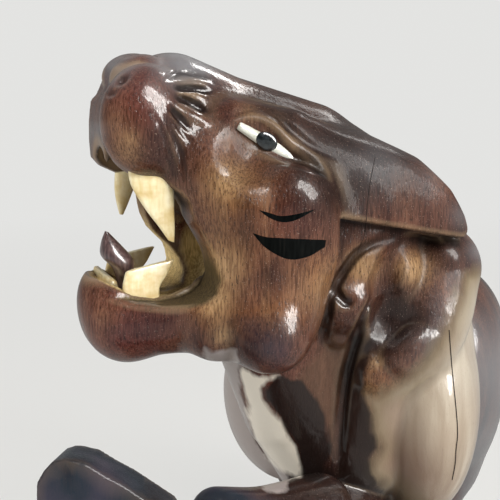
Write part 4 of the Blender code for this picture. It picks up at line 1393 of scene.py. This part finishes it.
def eye_white(side):
    """A long sliver, blunt in front, drawn out to a point behind."""
    place, along, out, across = eye_axes(side)
    tallest = max(half for share, half in EYE_SLIT)
    rings = []
    for share, half in smooth_way(EYE_SLIT, 4):
        thick = EYE_HALF[1] * math.sqrt(half / tallest)
        rings.append((place + along * EYE_HALF[0] * share, across * half, out * thick))
    return ring_run(rings, steps=1, round_ends=False)


def pupil(side):
    """A domed button, set in the white and a little taller than it."""
    place, along, out, across = eye_axes(side)
    rings = []
    for height, share in ((0.6, 1.0), (2.15, 1.0), (2.45, 0.94), (2.7, 0.8), (2.9, 0.5), (2.97, 0.2)):
        middle = place + along * PUPIL_FORWARD + across * PUPIL_RISE + out * height
        rings.append((middle, along * PUPIL_HALF[0] * share, across * PUPIL_HALF[1] * share))
    return ring_run(rings, steps=2, round_ends=False)


# The plinth, by geometry nodes
PLINTH_INPUTS = ("Length", "Width", "Height", "Corner", "Rounding")
EDGE_STEPS = 6


def plinth_tree(finish):
    """A rounded oblong, filled, raised and eased along its upper edge."""
    tree = bpy.data.node_groups.new("Plinth", "GeometryNodeTree")
    for name in PLINTH_INPUTS:
        tree.interface.new_socket(name, in_out="INPUT", socket_type="NodeSocketFloat").subtype = "DISTANCE"
    tree.interface.new_socket("Geometry", in_out="OUTPUT", socket_type="NodeSocketGeometry")
    given = add_node(tree, "NodeGroupInput").outputs
    oblong = add_node(tree, "GeometryNodeCurvePrimitiveQuadrilateral", {
        "Width": given["Length"], "Height": given["Width"],
    }).outputs["Curve"]
    eased = add_node(tree, "GeometryNodeFilletCurve", {
        "Curve": oblong, "Count": 20, "Radius": given["Corner"], "Limit Radius": True,
    }, mode="POLY").outputs["Curve"]
    base = add_node(tree, "GeometryNodeFillCurve", {"Curve": eased}, mode="NGONS").outputs["Mesh"]
    underside = add_node(tree, "GeometryNodeFlipFaces", {"Mesh": base}).outputs["Mesh"]
    straight = maths(tree, "SUBTRACT", given["Height"], given["Rounding"])
    raised = add_node(tree, "GeometryNodeExtrudeMesh", {
        "Mesh": base, "Offset": (0, 0, 1), "Offset Scale": straight, "Individual": False,
    }, mode="FACES")
    mesh, top = raised.outputs["Mesh"], raised.outputs["Top"]
    before_inset, before_lift = 0.0, 0.0
    for step in range(1, EDGE_STEPS + 1):
        angle = math.pi / 2 * step / EDGE_STEPS
        inset, lift = 1 - math.cos(angle), math.sin(angle)
        raised = add_node(tree, "GeometryNodeExtrudeMesh", {
            "Mesh": mesh, "Selection": top, "Offset": (0, 0, 1),
            "Offset Scale": times(tree, given["Rounding"], lift - before_lift), "Individual": False,
        }, mode="FACES")
        shares = {}
        for axis, side in (("X", "Length"), ("Y", "Width")):
            half = times(tree, given[side], 0.5)
            now = maths(tree, "SUBTRACT", half, times(tree, given["Rounding"], inset))
            then = maths(tree, "SUBTRACT", half, times(tree, given["Rounding"], before_inset))
            shares[axis] = maths(tree, "DIVIDE", now, then)
        shrink = add_node(tree, "ShaderNodeCombineXYZ", {**shares, "Z": 1.0}).outputs["Vector"]
        place = add_node(tree, "GeometryNodeInputPosition").outputs["Position"]
        moved = add_node(tree, "ShaderNodeVectorMath", {0: place, 1: shrink}, operation="MULTIPLY")
        top = raised.outputs["Top"]
        mesh = add_node(tree, "GeometryNodeSetPosition", {
            "Geometry": raised.outputs["Mesh"], "Selection": top, "Position": moved.outputs["Vector"],
        }).outputs["Geometry"]
        before_inset, before_lift = inset, lift
    whole = add_node(tree, "GeometryNodeJoinGeometry")
    tree.links.new(underside, whole.inputs[0])
    tree.links.new(mesh, whole.inputs[0])
    merged = add_node(tree, "GeometryNodeMergeByDistance", {
        "Geometry": whole.outputs["Geometry"], "Distance": 0.01 * MILLIMETRE,
    }).outputs["Geometry"]
    real = add_node(tree, "GeometryNodeRealizeInstances", {"Geometry": merged}).outputs["Geometry"]
    dressed = add_node(tree, "GeometryNodeSetMaterial", {"Geometry": real, "Material": finish})
    add_node(tree, "NodeGroupOutput", {"Geometry": dressed.outputs["Geometry"]})
    return tree


def raise_plinth(sizes):
    """The plinth as a plain mesh, made by the tree from its named sizes."""
    tree = plinth_tree(plinth_wood())
    thing = bpy.data.objects.new("plinth_oval", bpy.data.meshes.new("plinth_oval"))
    bpy.context.scene.collection.objects.link(thing)
    made = thing.modifiers.new("Plinth", "NODES")
    made.node_group = tree
    for socket in tree.interface.items_tree:
        if socket.in_out == "INPUT":
            made[socket.identifier] = sizes[socket.name]
    settled(thing)
    thing.data.shade_smooth()
    thing.data.set_sharp_from_angle(angle=math.radians(40))
    return thing


# Light, floor and camera
# Each lamp's name, the way to it from the head, roll, distance, width, height, watts, and what it does
LIGHTS = [
    ("tall_window", (-0.52, -0.67, 0.53), 39.0, 1.3, 0.40, 1.5, 27.0, "both"),
    ("window_glint", (-0.52, -0.67, 0.53), 39.0, 1.3, 0.56, 1.6, 100.0, "glints"),
    ("left_wall", (-0.50, 0.85, 0.08), 0.0, 1.3, 1.0, 1.0, 11.0, "fills"),
    ("far_window", (0.68, -0.30, 0.67), 0.0, 1.5, 0.24, 0.24, 5.0, "both"),
    ("sky", (0.80, 0.20, 0.60), 0.0, 1.9, 1.3, 0.8, 1.0, "both"),
]
DAYLIGHT = ((0.35, 0.55, 0.75), 0.25, math.radians(50.0))  # the way to it, its strength and width
FLOOR_SIDES = 64


def aimed(way, roll=0.0):
    """The turn that gives an object's Z a way, and so its view the other, rolled by some degrees."""
    return Vector(way).to_track_quat("Z", "Y") @ Quaternion((0, 0, 1), math.radians(roll))


def set_lights(warmth):
    """Large soft lamps round the head."""
    centre = np.array(HEAD_CENTRE_PLACE) * MILLIMETRE
    for name, way, roll, distance, width, height, watts, work in LIGHTS:
        lamp = bpy.data.lights.new(name, "AREA")
        lamp.shape = "RECTANGLE"
        lamp.size, lamp.size_y = width, height
        lamp.energy = watts
        lamp.color = (1.0, 1.0 - 0.04 * warmth, 1.0 - 0.09 * warmth)
        thing = bpy.data.objects.new(name, lamp)
        way = np.array(way) / np.linalg.norm(way)
        thing.location = centre + way * distance
        thing.rotation_mode = "QUATERNION"
        thing.rotation_quaternion = aimed(way, roll)
        thing.visible_diffuse = work != "glints"
        thing.visible_glossy = work != "fills"
        bpy.context.scene.collection.objects.link(thing)
    way, strength, width = DAYLIGHT
    sun = bpy.data.lights.new("daylight", "SUN")
    sun.energy = strength
    sun.angle = width
    thing = bpy.data.objects.new("daylight", sun)
    thing.rotation_mode = "QUATERNION"
    thing.rotation_quaternion = aimed(way)
    bpy.context.scene.collection.objects.link(thing)


def pale_floor(colour, reach, far_colour, seen):
    """A plain floor that the plinth stands on; far off it fades into the backdrop."""
    made, tree, shader = new_material(
        "Plain pale floor", Roughness=0.6, Metallic=0.0, Specular_IOR_Level=0.0,
        Emission_Color=tuple(far_colour) + (1.0,),
    )
    place = add_node(tree, "ShaderNodeTexCoord").outputs["Object"]
    away = add_node(tree, "ShaderNodeVectorMath", {0: place}, operation="LENGTH").outputs["Value"]
    far = spread(tree, away, 0.35, 1.5, 0.74, 1.0)
    clouds = grain(tree, 400.0, 400.0)
    near = mix(tree, times(tree, clouds, 0.1), tuple(colour) + (1.0,), "#d8d4cc")
    mirrored = add_node(tree, "ShaderNodeLightPath").outputs["Is Glossy Ray"]
    shown = spread(tree, mirrored, 0.0, 1.0, 1.0, 0.45)
    tree.links.new(mix(tree, far, near, (0.0, 0.0, 0.0, 1.0)), shader.inputs["Base Color"])
    strength = times(tree, times(tree, far, seen), shown)
    tree.links.new(strength, shader.inputs["Emission Strength"])
    mesh = bpy.data.meshes.new("floor")
    angles = [2 * math.pi * k / FLOOR_SIDES for k in range(FLOOR_SIDES)]
    ring = [(reach * math.cos(angle), reach * math.sin(angle), 0.0) for angle in angles]
    mesh.from_pydata(ring, [], [tuple(range(FLOOR_SIDES))])
    mesh.materials.append(made)
    floor = bpy.data.objects.new("floor", mesh)
    bpy.context.scene.collection.objects.link(floor)


def pale_world(colour, seen, shed):
    """Air that is seen pale and sheds a dimmer light."""
    world = bpy.data.worlds.new("Pale studio")
    world.use_nodes = True
    tree = world.node_tree
    ray = add_node(tree, "ShaderNodeLightPath")
    way = add_node(tree, "ShaderNodeTexCoord").outputs["Generated"]
    behind = add_node(tree, "ShaderNodeVectorMath", {0: way, 1: tuple(FORWARD)}, operation="DOT_PRODUCT")
    shed = spread(tree, behind.outputs["Value"], -0.2, 0.7, shed * 0.25, shed)
    shed = times(tree, shed, spread(tree, ray.outputs["Is Glossy Ray"], 0.0, 1.0, 1.0, 0.6))
    back = tree.nodes["Background"]
    back.inputs["Color"].default_value = tuple(colour) + (1.0,)
    strength = add_node(tree, "ShaderNodeMix", {
        0: ray.outputs["Is Camera Ray"], 2: shed, 3: seen,
    }, data_type="FLOAT").outputs[0]
    tree.links.new(strength, back.inputs["Strength"])
    bpy.context.scene.world = world


def photo_camera():
    """The camera where the photograph was taken from."""
    lens = bpy.data.cameras.new("photo_camera")
    lens.sensor_width = SENSOR
    lens.lens = PHOTO_FOCUS / PHOTO_PIXELS * SENSOR
    lens.clip_start, lens.clip_end = 0.01, 50.0
    camera = bpy.data.objects.new("photo_camera", lens)
    camera.location = to_metres(PHOTO_EYE)
    camera.rotation_mode = "QUATERNION"
    camera.rotation_quaternion = aimed(-FORWARD)
    bpy.context.scene.collection.objects.link(camera)
    bpy.context.scene.camera = camera


# The add-on: sizes and colours, one operator for each group of pieces, and a panel
class TigerCarvingSizes(bpy.types.PropertyGroup):
    """How finely the figure is carved."""
    grid: bpy.props.FloatProperty(
        name="Clay grid", description="Spacing of the clay's grid, in millimetres",
        default=0.8, min=0.5, max=3.0)
    trying_grid: bpy.props.FloatProperty(
        name="Trying grid", description="Spacing while trying things, in millimetres",
        default=1.25, min=0.5, max=3.0)
    most_triangles: bpy.props.IntProperty(
        name="Most triangles", description="Triangles that the figure keeps",
        default=188000, min=20000, max=198000)


class TigerPlinthSizes(bpy.types.PropertyGroup):
    """The plinth's sizes, from the frame."""
    corner: bpy.props.FloatProperty(
        name="Corner", description="Radius of its corners from above", default=0.060, unit="LENGTH")
    rounding: bpy.props.FloatProperty(
        name="Rounding", description="Radius along its upper edge", default=0.005, unit="LENGTH")


class TigerStageSettings(bpy.types.PropertyGroup):
    """Floor, backdrop and light."""
    floor_colour: bpy.props.FloatVectorProperty(
        name="Floor", description="Colour of the floor", subtype="COLOR", size=3,
        default=linear("#eeede9")[:3])
    floor_reach: bpy.props.FloatProperty(
        name="Floor reach", description="Radius of the floor", default=6.0, unit="LENGTH")
    back_colour: bpy.props.FloatVectorProperty(
        name="Backdrop", description="Colour of the air behind", subtype="COLOR", size=3,
        default=linear("#f3f3f1")[:3])
    back_strength: bpy.props.FloatProperty(
        name="Backdrop light", description="How bright the backdrop is", default=0.86, min=0.0, max=4.0)
    air_light: bpy.props.FloatProperty(
        name="Air light", description="How much light the air sheds on the piece",
        default=0.5, min=0.0, max=4.0)
    warmth: bpy.props.FloatProperty(
        name="Warmth", description="How warm the lamps are", default=0.6, min=0.0, max=2.0)


class TIGER_OT_carve(bpy.types.Operator):
    """Carve the figure and paint its stripes"""
    bl_idname = "tiger.carve"
    bl_label = "Carve the tiger"

    def execute(self, context):
        sizes = context.scene.tiger_carving
        grid = sizes.grid
        figure, clay = carve_figure(grid, sizes.most_triangles)
        hand_over(figure, ["tiger"], "rosewood")
        layers = []
        for upper, lower in CHEEK_STRIPES:
            layers += paint_layer(clay, upper, lower)
        points, faces = joined(layers)
        stripes = piece("painted_stripes", points, faces, stripe_paint())
        hand_over(stripes, [], "rosewood")
        # Each crack is a thin dark sheet on the skin: painted shade for its open inside
        layers = []
        for way, width in CRACKS:
            way = np.array(way, float)
            half = width / MILLIMETRES_PER_PIXEL / 2
            layers += paint_layer(clay, way - (half, 0), way + (half, 0), mirrored=False, rows=2)
        points, faces = joined(layers)
        cracks = piece("drying_cracks", points, faces, crack_shadow())
        hand_over(cracks, [], "rosewood")
        return {"FINISHED"}


class TIGER_OT_inlay(bpy.types.Operator):
    """Let in the teeth, the tongue and the eyes"""
    bl_idname = "tiger.inlay"
    bl_label = "Let in teeth, tongue and eyes"

    def execute(self, context):
        bone, shell, bead, wood = carved_bone(), eye_shell(), black_bead(), tongue_wood()
        for name, node, slot, (points, faces), finish in (
            ("fang_upper_left", "upper_fang_left", "bone", upper_left_fang(), bone),
            ("fang_upper_right", "upper_fang_right", "bone", upper_right_fang(), bone),
            ("fang_lower_left", "lower_fang_left", "bone", lower_fang(1), bone),
            ("fang_lower_right", "lower_fang_right", "bone", lower_fang(-1), bone),
            ("front_tooth_bar", "lower_front_tooth", "bone", front_tooth(), bone),
            ("tongue_leaf", "tongue", "tongue_wood", tongue_leaf(), wood),
            ("eye_shell_left", "eye_white_left", "eye_white", eye_white(1), shell),
            ("eye_shell_right", "eye_white_right", "eye_white", eye_white(-1), shell),
            ("eye_bead_left", "pupil_left", "eye_black", pupil(1), bead),
            ("eye_bead_right", "pupil_right", "eye_black", pupil(-1), bead),
        ):
            thing = piece(name, points, faces, finish)
            thing.data.set_sharp_from_angle(angle=math.radians(50))
            hand_over(thing, [node], slot)
        return {"FINISHED"}


class TIGER_OT_plinth(bpy.types.Operator):
    """Raise the plinth under the figure"""
    bl_idname = "tiger.plinth"
    bl_label = "Raise the plinth"

    def execute(self, context):
        given = context.scene.tiger_plinth
        low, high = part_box("plinth")
        thing = raise_plinth({
            "Length": high[0] - low[0], "Width": high[1] - low[1], "Height": high[2] - low[2],
            "Corner": given.corner, "Rounding": given.rounding,
        })
        hand_over(thing, ["plinth"], "plinth_wood")
        return {"FINISHED"}


class TIGER_OT_stage(bpy.types.Operator):
    """Lay the floor, hang the lights and set the camera"""
    bl_idname = "tiger.stage"
    bl_label = "Set the stage"

    def execute(self, context):
        given = context.scene.tiger_stage
        pale_floor(given.floor_colour, given.floor_reach, given.back_colour, given.back_strength)
        pale_world(given.back_colour, given.back_strength, given.air_light)
        set_lights(given.warmth)
        photo_camera()
        return {"FINISHED"}


class TIGER_PT_panel(bpy.types.Panel):
    """The tiger's sizes and steps"""
    bl_idname = "TIGER_PT_panel"
    bl_label = "Carved tiger"
    bl_space_type = "VIEW_3D"
    bl_region_type = "UI"
    bl_category = "Tiger"

    def draw(self, context):
        for group, step in (
            ("tiger_carving", "tiger.carve"), (None, "tiger.inlay"),
            ("tiger_plinth", "tiger.plinth"), ("tiger_stage", "tiger.stage"),
        ):
            box = self.layout.box()
            if group is not None:
                sizes = getattr(context.scene, group)
                for name in sizes.bl_rna.properties.keys():
                    if name not in ("rna_type", "name"):
                        box.prop(sizes, name)
            box.operator(step)


CLASSES = (
    TigerCarvingSizes, TigerPlinthSizes, TigerStageSettings,
    TIGER_OT_carve, TIGER_OT_inlay, TIGER_OT_plinth, TIGER_OT_stage, TIGER_PT_panel,
)


def register():
    for some in CLASSES:
        bpy.utils.register_class(some)
    bpy.types.Scene.tiger_carving = bpy.props.PointerProperty(type=TigerCarvingSizes)
    bpy.types.Scene.tiger_plinth = bpy.props.PointerProperty(type=TigerPlinthSizes)
    bpy.types.Scene.tiger_stage = bpy.props.PointerProperty(type=TigerStageSettings)


def unregister():
    for name in ("tiger_stage", "tiger_plinth", "tiger_carving"):
        delattr(bpy.types.Scene, name)
    for some in reversed(CLASSES):
        bpy.utils.unregister_class(some)


def main():
    register()
    bpy.context.scene.view_settings.view_transform = "Standard"
    bpy.ops.tiger.stage()
    bpy.ops.tiger.carve()
    bpy.ops.tiger.inlay()
    bpy.ops.tiger.plinth()


if __name__ == "__main__":
    main()
